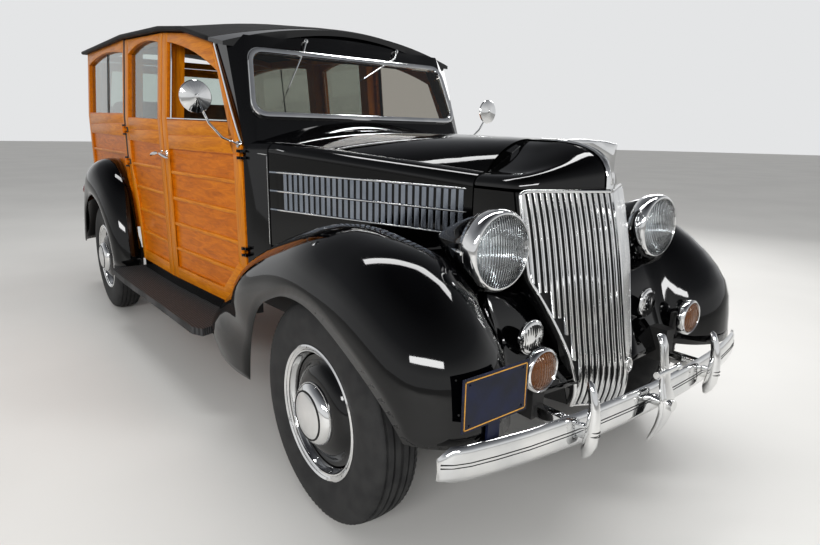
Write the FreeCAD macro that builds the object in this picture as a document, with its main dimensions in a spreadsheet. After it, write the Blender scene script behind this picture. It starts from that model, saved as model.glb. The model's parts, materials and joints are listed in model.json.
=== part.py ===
import FreeCAD, Part
import math
import os
import Sketcher
from FreeCAD import Placement, Rotation, Vector

os.makedirs("parts", exist_ok=True)
doc = FreeCAD.newDocument("station_wagon")

# Millimetres. X is across the car, the front faces -Y and +Z is up; the ground is at Z 0.
# A name that ends in _station is a distance back from the front axle.
driving_sizes = (
    # the whole car
    ("wheelbase", 2845),
    ("front_overhang", 742),
    ("rear_overhang", 1090),
    ("front_track", 1410),
    ("rear_track", 1480),
    ("sheet_wall", 5),
    ("panel_gap", 6),
    # wheels
    ("tyre_radius", 355),
    ("tyre_width", 160),
    ("rim_radius", 203),
    ("rim_width", 124),
    ("drum_radius", 150),
    ("hubcap_radius", 104),
    ("spindle_radius", 20),
    ("kingpin_offset", 95),
    ("kingpin_radius", 14),
    ("running_clearance", 0.3),
    # wooden body
    ("door_front_station", 882),
    ("post_b_station", 1750),
    ("post_c_station", 2455),
    ("body_rear_station", 3720),
    ("half_width_front", 612),
    ("half_width_b", 680),
    ("half_width_c", 698),
    ("half_width_rear", 676),
    ("belt_front", 1237),
    ("belt_rear", 1302),
    ("sill_bottom", 425),
    ("door_lean", 38),
    ("door_wall", 38),
    ("frame_proud", 12),
    ("eave_front", 1582),
    ("eave_mid_front", 1650),
    ("eave_b", 1684),
    ("eave_c", 1722),
    ("eave_rear", 1752),
    ("post_width", 62),
    # roof
    ("roof_crown_front", 116),
    ("roof_crown", 80),
    ("roof_overhang", 24),
    ("roof_edge", 16),
    ("roof_thickness", 22),
    ("roof_ledge", 112),
    ("roof_front_station", 1062),
    ("roof_corner_station", 1170),
    ("roof_rear_station", 3800),
    # cowl and windscreen
    ("cowl_front_station", 760),
    ("cowl_half_width", 556),
    ("cowl_shoulder", 1130),
    ("cowl_top", 1216),
    ("screen_base", 1258),
    ("screen_base_station", 884),
    ("screen_top", 1545),
    ("screen_top_station", 990),
    ("screen_half_base", 566),
    ("screen_half_top", 532),
    # hood and nose
    ("hood_front_station", -128),
    ("hood_front_half", 262),
    ("hood_front_shoulder", 1052),
    ("hood_front_top", 1196),
    ("hood_bottom", 742),
    ("hood_hinge_width", 24),
    ("nose_top_station", -446),
    ("nose_top", 1160),
    ("grille_top", 1052),
    ("grille_bottom", 392),
    ("grille_top_half", 258),
    ("grille_bottom_half", 138),
    ("grille_bar_width", 8),
    # running gear
    ("rail_height", 130),
    ("rail_width", 50),
    ("rail_bottom", 400),
    ("rail_front_half", 330),
    ("rail_rear_half", 480),
    ("floor_front", 455),
    ("floor_rear", 752),
    ("floor_thickness", 14),
    # bumpers
    ("bumper_half_width", 790),
    ("bumper_height", 92),
    ("bumper_bottom", 398),
    ("bumper_thickness", 14),
    # lamps
    ("lamp_radius", 116),
    ("lamp_half_spacing", 408),
    ("lamp_height", 894),
    ("lamp_face_station", -404),
    ("lamp_length", 262),
    ("fog_radius", 62),
    ("fog_half_spacing", 398),
    ("fog_height", 597),
    ("fog_face_station", -546),
    ("horn_radius", 52),
    ("horn_half_spacing", 309),
    ("horn_height", 638),
    ("horn_face_station", -446),
)
sheet = doc.addObject("Spreadsheet::Sheet", "sizes")
for row, (alias, value) in enumerate(driving_sizes, start=1):
    sheet.set(f"A{row}", alias)
    sheet.set(f"B{row}", str(value))
    sheet.setAlias(f"B{row}", alias)
doc.recompute()

sub_parts = []


def size(alias):
    return float(sheet.get(alias))


front_axle_y = (size("front_overhang") - size("wheelbase") - size("rear_overhang")) / 2
front_axle_place = "(sizes.front_overhang - sizes.wheelbase - sizes.rear_overhang) / 2"
rear_axle_y = front_axle_y + size("wheelbase")


def back(station):
    return front_axle_y + station


def point(x, station, z):
    return Vector(x, back(station), z)


def sides(label):
    return ((label + "_left", 1), (label + "_right", -1))


# Ways to make a sub-part


def keep(thing):
    sub_parts.append(thing)
    return thing


def formed(label, *shapes, place=None):
    thing = doc.addObject("Part::Feature", label)
    thing.Shape = shapes[0] if len(shapes) == 1 else Part.makeCompound(list(shapes))
    if place is not None:
        thing.Placement = place
    return keep(thing)


def to_side(shape, side):
    if side > 0:
        return shape
    return shape.mirror(Vector(0, 0, 0), Vector(1, 0, 0))


def outline(body, plane, corners):
    sketch = body.newObject("Sketcher::SketchObject", body.Name + "_outline")
    planes = {item.Role: item for item in body.Origin.OriginFeatures}
    sketch.AttachmentSupport = (planes[plane], [""])
    sketch.MapMode = "FlatFace"
    count = len(corners)
    rough = [Vector(math.cos(2 * math.pi * n / count), math.sin(2 * math.pi * n / count), 0) * 50
             for n in range(count)]
    for n in range(count):
        sketch.addGeometry(Part.LineSegment(rough[n], rough[(n + 1) % count]))
    for n in range(count):
        sketch.addConstraint(Sketcher.Constraint("Coincident", n, 2, (n + 1) % count, 1))
    for n, corner in enumerate(corners):
        for kind, rule in zip(("DistanceX", "DistanceY"), corner):
            index = sketch.addConstraint(Sketcher.Constraint(kind, -1, 1, n, 1, rough[n].x or 1.0))
            sketch.setExpression(f"Constraints[{index}]", rule)
    return sketch


def seat(body, x="0", y="0", z="0", turn=0):
    body.Placement = Placement(Vector(), Rotation(Vector(0, 0, 1), turn))
    body.setExpression(".Placement.Base.x", x)
    body.setExpression(".Placement.Base.y", y)
    body.setExpression(".Placement.Base.z", z)


def paired(label, *bodies):
    """Two like bodies kept as one sub-part."""
    pair = doc.addObject("Part::Compound", label)
    pair.Links = list(bodies)
    for body in bodies:
        sub_parts.remove(body)
    return keep(pair)


def turned(label, corners, axis="H_Axis", plane="XZ_Plane"):
    body = doc.addObject("PartDesign::Body", label)
    sketch = outline(body, plane, corners)
    spin = body.newObject("PartDesign::Revolution", label + "_spin")
    spin.Profile = sketch
    spin.ReferenceAxis = (sketch, [axis])
    spin.Angle = 360
    return keep(body)


def padded(label, plane, corners, depth):
    body = doc.addObject("PartDesign::Body", label)
    sketch = outline(body, plane, corners)
    pad = body.newObject("PartDesign::Pad", label + "_pad")
    pad.Profile = sketch
    pad.Midplane = True
    pad.setExpression("Length", depth)
    return keep(body)


def polygon(points):
    return Part.makePolygon(list(points) + [points[0]])


def prism(points, run):
    return Part.Face(polygon(points)).extrude(run)


def block(x_low, x_high, station_low, station_high, z_low, z_high):
    return Part.makeBox(x_high - x_low, station_high - station_low, z_high - z_low,
                        point(x_low, station_low, z_low))


def arc(first, middle, last):
    return Part.Arc(first, middle, last).toShape()


def line(first, last):
    return Part.LineSegment(first, last).toShape()


def crescent(inner, crown, lip, wall):
    """Closed thin arch through three points, its wall measured towards the arc's centre."""
    outer = arc(inner, crown, lip)
    centre = outer.Curve.Center
    drawn = [at - (at - centre).normalize() * wall for at in (inner, crown, lip)]
    return Part.Wire([outer, line(lip, drawn[2]), arc(drawn[2], drawn[1], drawn[0]),
                      line(drawn[0], inner)])


def fused(first, *others):
    return first.multiFuse(list(others)).removeSplitter()


def rod(first, last, radius):
    return Part.makeCylinder(radius, (last - first).Length, first, last - first)


def hinge(centre, along, fixed_leaf, moving_leaf):
    """Two outer knuckles on a pin and the one that turns between them, each with its leaf."""
    reach = Vector(along)
    fixed = [rod(centre - reach * 20, centre + reach * 20, 4)]
    for sign in (-1, 1):
        near, far = centre + reach * 8 * sign, centre + reach * 20 * sign
        fixed.append(rod(near, far, 8))
        fixed.append(fixed_leaf(near, far))
    turning = rod(centre - reach * 7.5, centre + reach * 7.5, 8)
    turning = turning.fuse(moving_leaf(centre - reach * 7.5, centre + reach * 7.5))
    room = rod(centre - reach * 30, centre + reach * 30, 4 + size("running_clearance"))
    return fused(*fixed), turning.cut(room)


def leaf(first, last, low, high):
    """Flat leaf between two heights or widths, given by its corner offsets from the pin."""
    return Part.makeBox(*[abs(v) for v in ((last + high) - (first + low))],
                        Vector(*[min(a, b) for a, b in zip(first + low, last + high)]))


# Wooden body: its skin runs through four posts and leans in above the belt

post_rows = (
    # station, half width at the belt, eave height
    (size("door_front_station"), size("half_width_front"), size("eave_front") - 60),
    (size("roof_corner_station"), None, size("eave_front")),
    (1450, None, size("eave_mid_front")),
    (size("post_b_station"), size("half_width_b"), size("eave_b")),
    (size("post_c_station"), size("half_width_c"), size("eave_c")),
    (size("body_rear_station"), size("half_width_rear"), size("eave_rear")),
)


def between(station, column):
    known = [row for row in post_rows if row[column] is not None]
    for low, high in zip(known, known[1:]):
        if station <= high[0] or high is known[-1]:
            share = (station - low[0]) / (high[0] - low[0])
            return low[column] + share * (high[column] - low[column])


def belt_half(station):
    return between(station, 1)


def eave(station):
    return between(station, 2)


def belt(station):
    run = size("body_rear_station") - size("door_front_station")
    share = (station - size("door_front_station")) / run
    return size("belt_front") + share * (size("belt_rear") - size("belt_front"))


def skin(station, z):
    """Half width of the outer skin at a height."""
    above = max(0.0, z - belt(station)) / (size("eave_rear") - size("belt_rear"))
    return belt_half(station) - size("door_lean") * above


def side_band(outer, inner, stations, low, high):
    """Side wall between two depths under the skin, along the stations."""
    wires = []
    for station in stations:
        ring = []
        for depth, heights in ((outer, (low, belt(station), high(station))),
                               (inner, (high(station), belt(station), low))):
            ring += [point(skin(station, z) - depth, station, z) for z in heights]
        wires.append(polygon(ring))
    return Part.makeLoft(wires, True, True)


def through(corners, low=300, high=900):
    """Cutter along X whose outline is given as (station, height)."""
    return prism([point(low, station, z) for station, z in corners], Vector(high - low, 0, 0))


def arched(front, rear, low_front, low_rear, high_front, high_rear, rise):
    """Window cutter with a bowed head."""
    corners = [point(300, front, low_front), point(300, rear, low_rear), point(300, rear, high_rear),
               point(300, front, high_front)]
    head = point(300, (front + rear) / 2, (high_front + high_rear) / 2 + rise)
    wire = Part.Wire([line(corners[0], corners[1]), line(corners[1], corners[2]),
                      arc(corners[2], head, corners[3]), line(corners[3], corners[0])])
    return Part.Face(wire).extrude(Vector(600, 0, 0))


wall = size("door_wall")
proud = size("frame_proud")
gap = size("panel_gap")
sill = size("sill_bottom")
door_front = size("door_front_station")
post_b = size("post_b_station")
post_c = size("post_c_station")
body_rear = size("body_rear_station")
strip_pitch = 134
strip_top = 990


def rub_strips(front, rear, heights, depth):
    strips = []
    for z in heights:
        ends = []
        for station in (front, rear):
            x = skin(station, z) - depth
            ends.append(polygon([point(x - 1, station, z - 9), point(x + 9, station, z - 5),
                                 point(x + 9, station, z + 5), point(x - 1, station, z + 9)]))
        strips.append(Part.makeLoft(ends, True, True))
    return strips


def framed_panel(stations, region, panels, window, strips, top):
    """Frame layer standing proud of a thinner backing, the window cut through both."""
    frame_layer = side_band(0, proud, stations, sill, top).common(region)
    backing = side_band(proud, wall, stations, sill, top).common(region)
    for panel in panels:
        frame_layer = frame_layer.cut(panel)
    solid = fused(frame_layer, backing, *strips)
    if window is not None:
        solid = solid.cut(window)
    return solid


def door_top(station):
    return eave(station) - gap


rail_low = sill + 62

# Front door: cut low in front by the fender, slanting back with the windscreen post
front_stations = (door_front, size("roof_corner_station"), 1450, post_b - gap / 2)
slant_foot = size("cowl_shoulder") + 6
front_region = through([(1092, sill), (post_b - gap / 2, sill), (post_b - gap / 2, 1800),
                        (size("roof_corner_station") + 140, 1800),
                        (size("roof_corner_station"), size("eave_front")),
                        (door_front + gap, slant_foot), (door_front + gap, 594)])
front_window = arched(1000, post_b - 68, belt(1000), belt(1700), 1420, 1628, 24)
front_window = front_window.cut(through([(900, 1240), (1000, 1240), (1240, 1700), (900, 1700)]))
front_panel = through([(962, 1106), (post_b - 66, 1110), (post_b - 66, rail_low), (1130, rail_low),
                       (962, 640)])
front_strips = rub_strips(962, post_b - 66, [strip_top - n * strip_pitch for n in range(3)], proud)
front_strips += rub_strips(1022, post_b - 66, [strip_top - 3 * strip_pitch], proud)
front_door = framed_panel(front_stations, front_region, [front_panel], front_window, front_strips, door_top)

# Rear door: its lower rear corner runs forward round the fender
rear_stations = (post_b + gap / 2, post_c - gap / 2)
rear_region = through([(post_b + gap / 2, sill), (2312, sill), (2342, 620), (2400, 830),
                       (post_c - gap / 2, 965), (post_c - gap / 2, 1800), (post_b + gap / 2, 1800)])
rear_window = arched(post_b + 72, post_c - 72, belt(post_b), belt(post_c), 1640, 1630, 34)
rear_panel = through([(post_b + 64, 1124), (post_c - 66, 1140), (post_c - 66, 990), (2318, 800),
                      (2262, rail_low), (post_b + 64, rail_low)])
rear_strips = []
for strip, reach in enumerate((post_c - 70, 2320, 2290, 2262)):
    rear_strips += rub_strips(post_b + 64, reach, [strip_top + 12 - strip * strip_pitch], proud)
rear_door = framed_panel(rear_stations, rear_region, [rear_panel], rear_window, rear_strips, door_top)

# Quarter: fixed wall behind the rear door, arched over the rear wheel
arch_station = size("wheelbase")
arch_radius = size("tyre_radius") + 38
quarter_stations = (post_c + gap / 2 + 34, body_rear)
quarter_low = 596
quarter_region = through([(post_c + gap / 2 + 34, quarter_low), (body_rear, quarter_low),
                          (body_rear, 1800), (post_c + gap / 2 + 34, 1800)])
quarter_window = arched(post_c + 60, body_rear - 62, belt(post_c) + 26, belt(body_rear) + 20,
                        1650, 1668, 38)
quarter_panel = through([(post_c + 90, 1158), (body_rear - 66, 1172), (body_rear - 66, 660),
                         (post_c + 90, 660)])
quarter_strips = rub_strips(post_c + 90, body_rear - 66, [1054], proud)
arch_cut = Part.makeCylinder(arch_radius, 700, Vector(300, rear_axle_y, size("tyre_radius")),
                             Vector(1, 0, 0))
quarter = framed_panel(quarter_stations, quarter_region, [quarter_panel], quarter_window,
                       quarter_strips, eave).cut(arch_cut)

front_hinges = [hinge(point(size("half_width_front") + 15, 886, z), Vector(0, 0, 1),
                      lambda near, far: leaf(near, far, Vector(-22, -24, 0), Vector(0, 0, 0)),
                      lambda low, high: leaf(low, high, Vector(-16, 2, 0), Vector(0, 22, 0)))
                for z in (700, 1110)]
rear_hinges = [hinge(point(size("half_width_c") + 15, post_c - 1, z), Vector(0, 0, 1),
                     lambda near, far: leaf(near, far, Vector(-17, 0, 0), Vector(0, 58, 0)),
                     lambda low, high: leaf(low, high, Vector(-17, -26, 0), Vector(0, -2, 0)))
               for z in (1010, 1200)]
front_door = front_door.multiFuse([moving for fixed, moving in front_hinges])
rear_door = rear_door.multiFuse([moving for fixed, moving in rear_hinges])
quarter = quarter.multiFuse([fixed for fixed, moving in rear_hinges])
for label, side in sides("door_front"):
    formed(label, to_side(front_door, side))
for label, side in sides("door_rear"):
    formed(label, to_side(rear_door, side))
formed("quarter_panels", quarter, to_side(quarter, -1))

# Side glass, held in the middle of its wall
glass_band = side_band(proud + 8, proud + 13, (door_front, 1450, post_b, post_c, body_rear), 1180, eave)
rear_glass = arched(post_b + 72.3, post_c - 72.3, belt(post_b), belt(post_c), 1640, 1630, 34)
rear_glass = glass_band.common(rear_glass)
quarter_glass = glass_band.common(arched(post_c + 60.3, body_rear - 62.3, belt(post_c) + 26,
                                         belt(body_rear) + 20, 1650, 1668, 37.6))
for label, side in sides("rear_door_glass"):
    formed(label, to_side(rear_glass, side))
formed("quarter_glass", quarter_glass, to_side(quarter_glass, -1))

# Body frame: sills, inner posts, cant rails and the rear opening, all of wood
frame_pieces = []
inner = wall + gap
for side in (1, -1):
    for low, high in ((post_b - 45, post_b + 45), (post_c - 40, post_c + 60)):
        post = side_band(inner, inner + 50, (low, high), sill + 40, eave)
        frame_pieces.append(to_side(post, side))
    seam = side_band(10, inner, (post_c + gap / 2 + 2, post_c + gap / 2 + 34), 970, eave)
    frame_pieces.append(to_side(seam, side))
    rail = side_band(inner, inner + 56, (1245, 1450, post_b, post_c, body_rear), 1180, eave)
    keep_above = []
    for station in (1245, 1450, post_b, post_c, body_rear):
        keep_above.append(point(300, station, eave(station) - 46))
    cut_top = [point(300, body_rear, 2000), point(300, 1245, 2000)]
    rail = rail.common(prism(keep_above + cut_top, Vector(600, 0, 0)))
    frame_pieces.append(to_side(rail, side))
    sill_piece = side_band(inner, inner + 60, (1100, post_b, 2300), sill, lambda station: belt(station))
    frame_pieces.append(to_side(sill_piece.common(block(200, 900, 1100, 2300, sill, 520)), side))
    corner = side_band(wall, wall + 44, (body_rear - 60, body_rear), 600, eave)
    frame_pieces.append(to_side(corner, side))
    frame_pieces.append(to_side(block(372, 600, body_rear - 30, body_rear - 4, 600, 744), side))
    ledge = side_band(wall, wall + 54, (post_c + 60, body_rear), 690, belt)
    frame_pieces.append(to_side(ledge.common(block(200, 900, post_c, body_rear - 44, 690, 752)), side))
for label, station in (("bow_b", post_b), ("bow_c", post_c), ("bow_quarter", 3090)):
    half = skin(station, eave(station)) - inner - 20
    rise = size("roof_crown") * (1 - (half / skin(station, eave(station))) ** 2)
    low = eave(station) - 44
    wire = Part.Wire([arc(point(-half, station - 22, low + 36), point(0, station - 22, low + 36 + 52),
                          point(half, station - 22, low + 36)),
                      line(point(half, station - 22, low + 36), point(half, station - 22, low)),
                      arc(point(half, station - 22, low), point(0, station - 22, low + 52),
                          point(-half, station - 22, low)),
                      line(point(-half, station - 22, low), point(-half, station - 22, low + 36))])
    frame_pieces.append(Part.Face(wire).extrude(Vector(0, 44, 0)))
floor_top = size("floor_rear")
header_low = eave(body_rear) - 46
frame_pieces.append(block(-590, 590, body_rear - 60, body_rear - 4, header_low, eave(body_rear) - 4))
lift_hinges = []
tail_hinges = []
for x in (-380, 380):
    lift_hinges.append(hinge(point(x, body_rear + 9, 1703), Vector(1, 0, 0),
                             lambda near, far: leaf(near, far, Vector(0, -14, 4), Vector(0, 2, 36)),
                             lambda low, high: leaf(low, high, Vector(0, -11, -30), Vector(0, 4, -4))))
    tail_hinges.append(hinge(point(x * 1.2, body_rear + 9, 746), Vector(1, 0, 0),
                             lambda near, far: leaf(near, far, Vector(0, -14, -36), Vector(0, 2, -4)),
                             lambda low, high: leaf(low, high, Vector(0, -11, 7), Vector(0, 4, 36))))
frame_pieces += [fixed for fixed, moving in lift_hinges + tail_hinges]
body_frame = frame_pieces[0].multiFuse(frame_pieces[1:]).removeSplitter()
formed("body_frame", body_frame)

# Roof: bowed sections with a square ledge that rests on the walls, its front edge bowed forward


def roof_outline(station, crown):
    half = skin(station, eave(station)) + size("roof_overhang")
    low = eave(station)
    side_z = low + size("roof_edge")
    return half, low, side_z, low + crown


def roof_section(station, crown):
    half, low, side_z, top = roof_outline(station, crown)
    ledge = half - size("roof_ledge")
    return Part.Wire([
        arc(point(-half, station, side_z), point(0, station, top), point(half, station, side_z)),
        line(point(half, station, side_z), point(half, station, low)),
        line(point(half, station, low), point(ledge, station, low)),
        arc(point(ledge, station, low), point(0, station, top - size("roof_thickness")),
            point(-ledge, station, low)),
        line(point(-ledge, station, low), point(-half, station, low)),
        line(point(-half, station, low), point(-half, station, side_z))])


def roof_filled(station, crown):
    half, low, side_z, top = roof_outline(station, crown)
    return Part.Wire([
        arc(point(-half, station, side_z), point(0, station, top), point(half, station, side_z)),
        line(point(half, station, side_z), point(half, station, 1000)),
        line(point(half, station, 1000), point(-half, station, 1000)),
        line(point(-half, station, 1000), point(-half, station, side_z))])


roof_start = 1010
roof_rows = (
    # station, crown above the eave
    (roof_start, size("roof_crown_front")),
    (size("roof_corner_station"), size("roof_crown_front")),
    (1450, size("roof_crown") + 10),
    (post_b, size("roof_crown")),
    (post_c, size("roof_crown")),
    (size("roof_rear_station"), size("roof_crown") - 8),
)
roof_whole = Part.makeLoft([roof_section(*row) for row in roof_rows], True, True)
roof_edge_cut = Part.Face(Part.Wire([
    arc(point(-800, size("roof_corner_station") + 40, 1200), point(0, size("roof_front_station"), 1200),
        point(800, size("roof_corner_station") + 40, 1200)),
    line(point(800, size("roof_corner_station") + 40, 1200), point(800, 800, 1200)),
    line(point(800, 800, 1200), point(-800, 800, 1200)),
    line(point(-800, 800, 1200), point(-800, size("roof_corner_station") + 40, 1200))])).extrude(
        Vector(0, 0, 800))
roof = roof_whole.cut(roof_edge_cut)
formed("roof", roof)

# Windscreen surround: a band round three sides with the glass opening cut on the slant


def screen_station(z):
    share = (z - size("screen_base")) / (size("screen_top") - size("screen_base"))
    return size("screen_base_station") + share * (size("screen_top_station") - size("screen_base_station"))


def surround_ring(z, side_station, half_front, half_side, depth):
    face = screen_station(z)
    corner = 30
    return polygon([
        point(-half_side, side_station, z), point(-half_side, face + corner, z),
        point(-half_front, face, z), point(half_front, face, z),
        point(half_side, face + corner, z), point(half_side, side_station, z),
        point(half_side - depth, side_station, z), point(half_side - depth, face + corner + 8, z),
        point(half_front - depth / 2, face + depth, z), point(depth / 2 - half_front, face + depth, z),
        point(depth - half_side, face + corner + 8, z), point(depth - half_side, side_station, z)])


header_z = 1730
post_run = (size("roof_corner_station") - door_front - gap) / (size("eave_front") - slant_foot)
surround = Part.makeLoft([
    surround_ring(slant_foot, door_front, 566, 606, 34),
    surround_ring(header_z, door_front + post_run * (header_z - slant_foot), 520, 598, 34)], True, True)
roof_core = Part.makeLoft([roof_filled(*row) for row in roof_rows[:3]], True, True)
surround = surround.common(roof_core.fuse(block(-700, 700, 700, roof_start, 1000, 1600))).cut(roof_whole)
header_rim = roof_whole.common(roof_edge_cut)
opening_slope = math.degrees(math.atan2(size("screen_top_station") - size("screen_base_station"),
                                        size("screen_top") - size("screen_base")))


def screen_outline(inset, front, rear):
    """Rounded trapezoid in the windscreen's own plane, from front to rear of it."""
    base = screen_station(size("screen_base") + inset)
    top = screen_station(size("screen_top") - inset)
    low = size("screen_base") + inset
    high = size("screen_top") - inset
    half_low = size("screen_half_base") - inset
    half_high = size("screen_half_top") - inset
    corners = [(-half_low, base, low), (half_low, base, low), (half_high, top, high), (-half_high, top, high)]
    normal = Vector(0, math.cos(math.radians(opening_slope)), -math.sin(math.radians(opening_slope)))
    face = Part.Face(polygon([point(*corner) + normal * front for corner in corners]))
    solid = face.extrude(normal * (rear - front))
    long_edges = [edge for edge in solid.Edges
                  if abs(abs((edge.Vertexes[1].Point - edge.Vertexes[0].Point).normalize().dot(normal)) - 1)
                  < 0.001]
    return solid.makeFillet(60 - inset * 0.6, long_edges)


# Cowl: steel shell between the hood and the doors
def hood_ring(station, half, shoulder, top, low, wall_in):
    """Half-open arch: straight sides, rounded shoulder, gentle crown."""
    turn = min(60, half * 0.45)

    def arch(shrink):
        side_x = half - shrink
        crown = top - shrink
        return ((side_x, low), (side_x, shoulder - shrink * 0.4),
                (side_x - turn * 0.28, shoulder + turn * 0.42 - shrink * 0.7),
                (side_x - turn, shoulder + turn * 0.62 - shrink), (0, crown))

    outer, inside = arch(0), arch(wall_in)

    def at(pair, sign):
        return point(sign * pair[0], station, pair[1])

    def over(ring, sign):
        return [line(at(ring[0], sign), at(ring[1], sign)),
                arc(at(ring[1], sign), at(ring[2], sign), at(ring[3], sign)),
                arc(at(ring[3], sign), at(ring[4], 1), at(ring[3], -sign)),
                arc(at(ring[3], -sign), at(ring[2], -sign), at(ring[1], -sign)),
                line(at(ring[1], -sign), at(ring[0], -sign))]

    if wall_in == 0:
        return Part.Wire(over(outer, -1) + [line(at(outer[0], 1), at(outer[0], -1))])
    return Part.Wire(over(outer, -1) + [line(at(outer[0], 1), at(inside[0], 1))]
                     + over(inside, 1) + [line(at(inside[0], -1), at(outer[0], -1))])


cowl_low = 560
cowl_shell = Part.makeLoft([
    hood_ring(size("cowl_front_station"), size("cowl_half_width"), size("cowl_shoulder"), size("cowl_top"),
              cowl_low, size("sheet_wall")),
    hood_ring(door_front, size("half_width_front") - 4, size("cowl_shoulder"), size("screen_base") - 6,
              cowl_low, size("sheet_wall"))], True, True)
cowl_core = Part.makeLoft([
    hood_ring(size("cowl_front_station"), size("cowl_half_width"), size("cowl_shoulder"), size("cowl_top"),
              cowl_low, 0),
    hood_ring(door_front, size("half_width_front") - 4, size("cowl_shoulder"), size("screen_base") - 6,
              cowl_low, 0)], True, True)
surround = surround.cut([screen_outline(12, -60, 90), cowl_core])
formed("cowl", cowl_shell.multiFuse([to_side(fixed, side) for fixed, moving in front_hinges for side in (1, -1)]))
formed("windscreen_surround", surround.fuse(header_rim).removeSplitter())

# Windscreen frame and glass
formed("windscreen_frame", screen_outline(0, -14, 0).cut(screen_outline(22, -60, 60)))
formed("windscreen_glass", screen_outline(22.3, -9, -4))

# Hood: two tops hinged on the centre strip, each with a louvred side hinged on its shoulder
hood_front = size("hood_front_station")
hood_rear = size("cowl_front_station") - gap


def hood_half(station):
    run = size("cowl_front_station") - hood_front
    share = (station - hood_front) / run
    return size("hood_front_half") + share * (size("cowl_half_width") - size("hood_front_half"))


def hood_shoulder(station):
    run = size("cowl_front_station") - hood_front
    share = (station - hood_front) / run
    return size("hood_front_shoulder") + share * (size("cowl_shoulder") - size("hood_front_shoulder"))


def hood_top(station):
    run = size("cowl_front_station") - hood_front
    share = (station - hood_front) / run
    return size("hood_front_top") + share * (size("cowl_top") - size("hood_front_top"))


hood_arch = Part.makeLoft([
    hood_ring(station, hood_half(station), hood_shoulder(station), hood_top(station), size("hood_bottom"),
              size("sheet_wall"))
    for station in (hood_front, hood_rear)], True, True)
shoulder_line = [(hood_front - 1, hood_shoulder(hood_front - 1)), (hood_rear + 1, hood_shoulder(hood_rear + 1))]
hinge_half = size("hood_hinge_width") / 2


def above_line(lift, x_low, x_high):
    (front, z_front), (rear, z_rear) = shoulder_line
    return prism([point(x_low, front, z_front + lift), point(x_low, rear, z_rear + lift),
                  point(x_low, rear, 1500), point(x_low, front, 1500)], Vector(x_high - x_low, 0, 0))


hinge_rod = [point(hood_half(station) - 8, station, hood_shoulder(station) - 9)
             for station in (hood_front + 2, hood_rear - 2)]
top_left = hood_arch.common(above_line(-8, hinge_half + 0.3, 700)).fuse(rod(*hinge_rod, 4))
side_left = hood_arch.common(block(0, 800, hood_front - 2, hood_rear + 2, 500, 1400)).cut(
    above_line(-10, -10, 800))
louvres = []
for n in range(26):
    station = 30 + n * 27
    x = hood_half(station)
    low, high = 893, 1036 + n * 0.5
    fin = prism([point(x - 3, station, low), point(x - 3, station + 15, low),
                 point(x + 5.5, station + 13, low), point(x + 1, station + 2, low)], Vector(0, 0, high - low))
    louvres.append(fin)
side_left = side_left.multiFuse(louvres)
for z in (886, 962, 1036):
    ends = []
    for station in (-60, 744):
        x = hood_half(station)
        lift = (station - 0) * 0.012
        ends.append(polygon([point(x - 2, station, z - 6 + lift), point(x + 8, station, z - 3 + lift),
                             point(x + 8, station, z + 3 + lift), point(x - 2, station, z + 6 + lift)]))
    side_left = side_left.fuse(Part.makeLoft(ends, True, True))
side_left = side_left.cut(rod(*hinge_rod, 4 + size("running_clearance"))).removeSplitter()
for label, side in sides("hood_top"):
    formed(label, to_side(top_left, side))
for label, side in sides("hood_side"):
    formed(label, to_side(side_left, side))
strip_low = [polygon([point(-hinge_half, station, hood_top(station) - 6),
                      point(hinge_half, station, hood_top(station) - 6),
                      point(hinge_half, station, hood_top(station) + 3),
                      point(-hinge_half, station, hood_top(station) + 3)])
             for station in (hood_front - 120, size("cowl_front_station") - 0.3)]
hinge_strip = Part.makeLoft(strip_low, True, True)

# Nose: steel shell from the hood's front edge to the grille, closed over the grille's top
nose_low = 1040
nose_rows = (
    # station, half width, shoulder height, top height
    (hood_front - gap, size("hood_front_half"), size("hood_front_shoulder"), size("hood_front_top") - 3),
    (-316, 250, 1050, 1183),
    (-380, 136, 1050, 1171),
    (-438, 30, 1050, 1108),
)
nose_wall = size("sheet_wall")
nose_outer = Part.makeLoft([hood_ring(station, half, shoulder, top, nose_low, 0)
                            for station, half, shoulder, top in nose_rows], True, True)
nose_inner = Part.makeLoft([hood_ring(station + shift, half - nose_wall, shoulder - 3, top - nose_wall,
                                      nose_low - 20, 0)
                            for (station, half, shoulder, top), shift in zip(nose_rows, (-0.01, 2, 3, 5))],
                           True, True)
nose_top_shell = nose_outer.cut(nose_inner)

# Grille: two raked banks of upright bars meeting in a V, with its surround and centre strip
grille_ridge = (
    # height, station of the ridge, half width, station of the outer edge
    (size("grille_bottom"), -552, size("grille_bottom_half"), -480),
    (600, -545, 178, -452),
    (791, -522, 266, -383),
    (size("grille_top"), -452, size("grille_top_half"), -318),
)


def grille_at(z):
    for low, high in zip(grille_ridge, grille_ridge[1:]):
        if z <= high[0] or high is grille_ridge[-1]:
            share = (z - low[0]) / (high[0] - low[0])
            return [a + share * (b - a) for a, b in zip(low, high)]


def grille_point(z, share, lift=0):
    """Place on the grille's face: share runs from 0 at the ridge to 1 at the outer edge."""
    row = grille_at(z)
    return point(share * row[2], row[1] + share * (row[3] - row[1]) - lift, z)


bar_count = 16
bars = []
for n in range(bar_count):
    share = (n + 0.6) / (bar_count + 0.2)
    wires = []
    for z in [row[0] for row in grille_ridge]:
        centre = grille_point(z, share)
        half_bar = size("grille_bar_width") / 2 * (0.45 + 0.55 * grille_at(z)[2] / size("grille_top_half"))
        wires.append(polygon([centre + Vector(-half_bar, 2, 0), centre + Vector(0, -8, 0),
                              centre + Vector(half_bar, 2, 0), centre + Vector(half_bar, 14, 0),
                              centre + Vector(-half_bar, 14, 0)]))
    bars.append(Part.makeLoft(wires, True, True))


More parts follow.
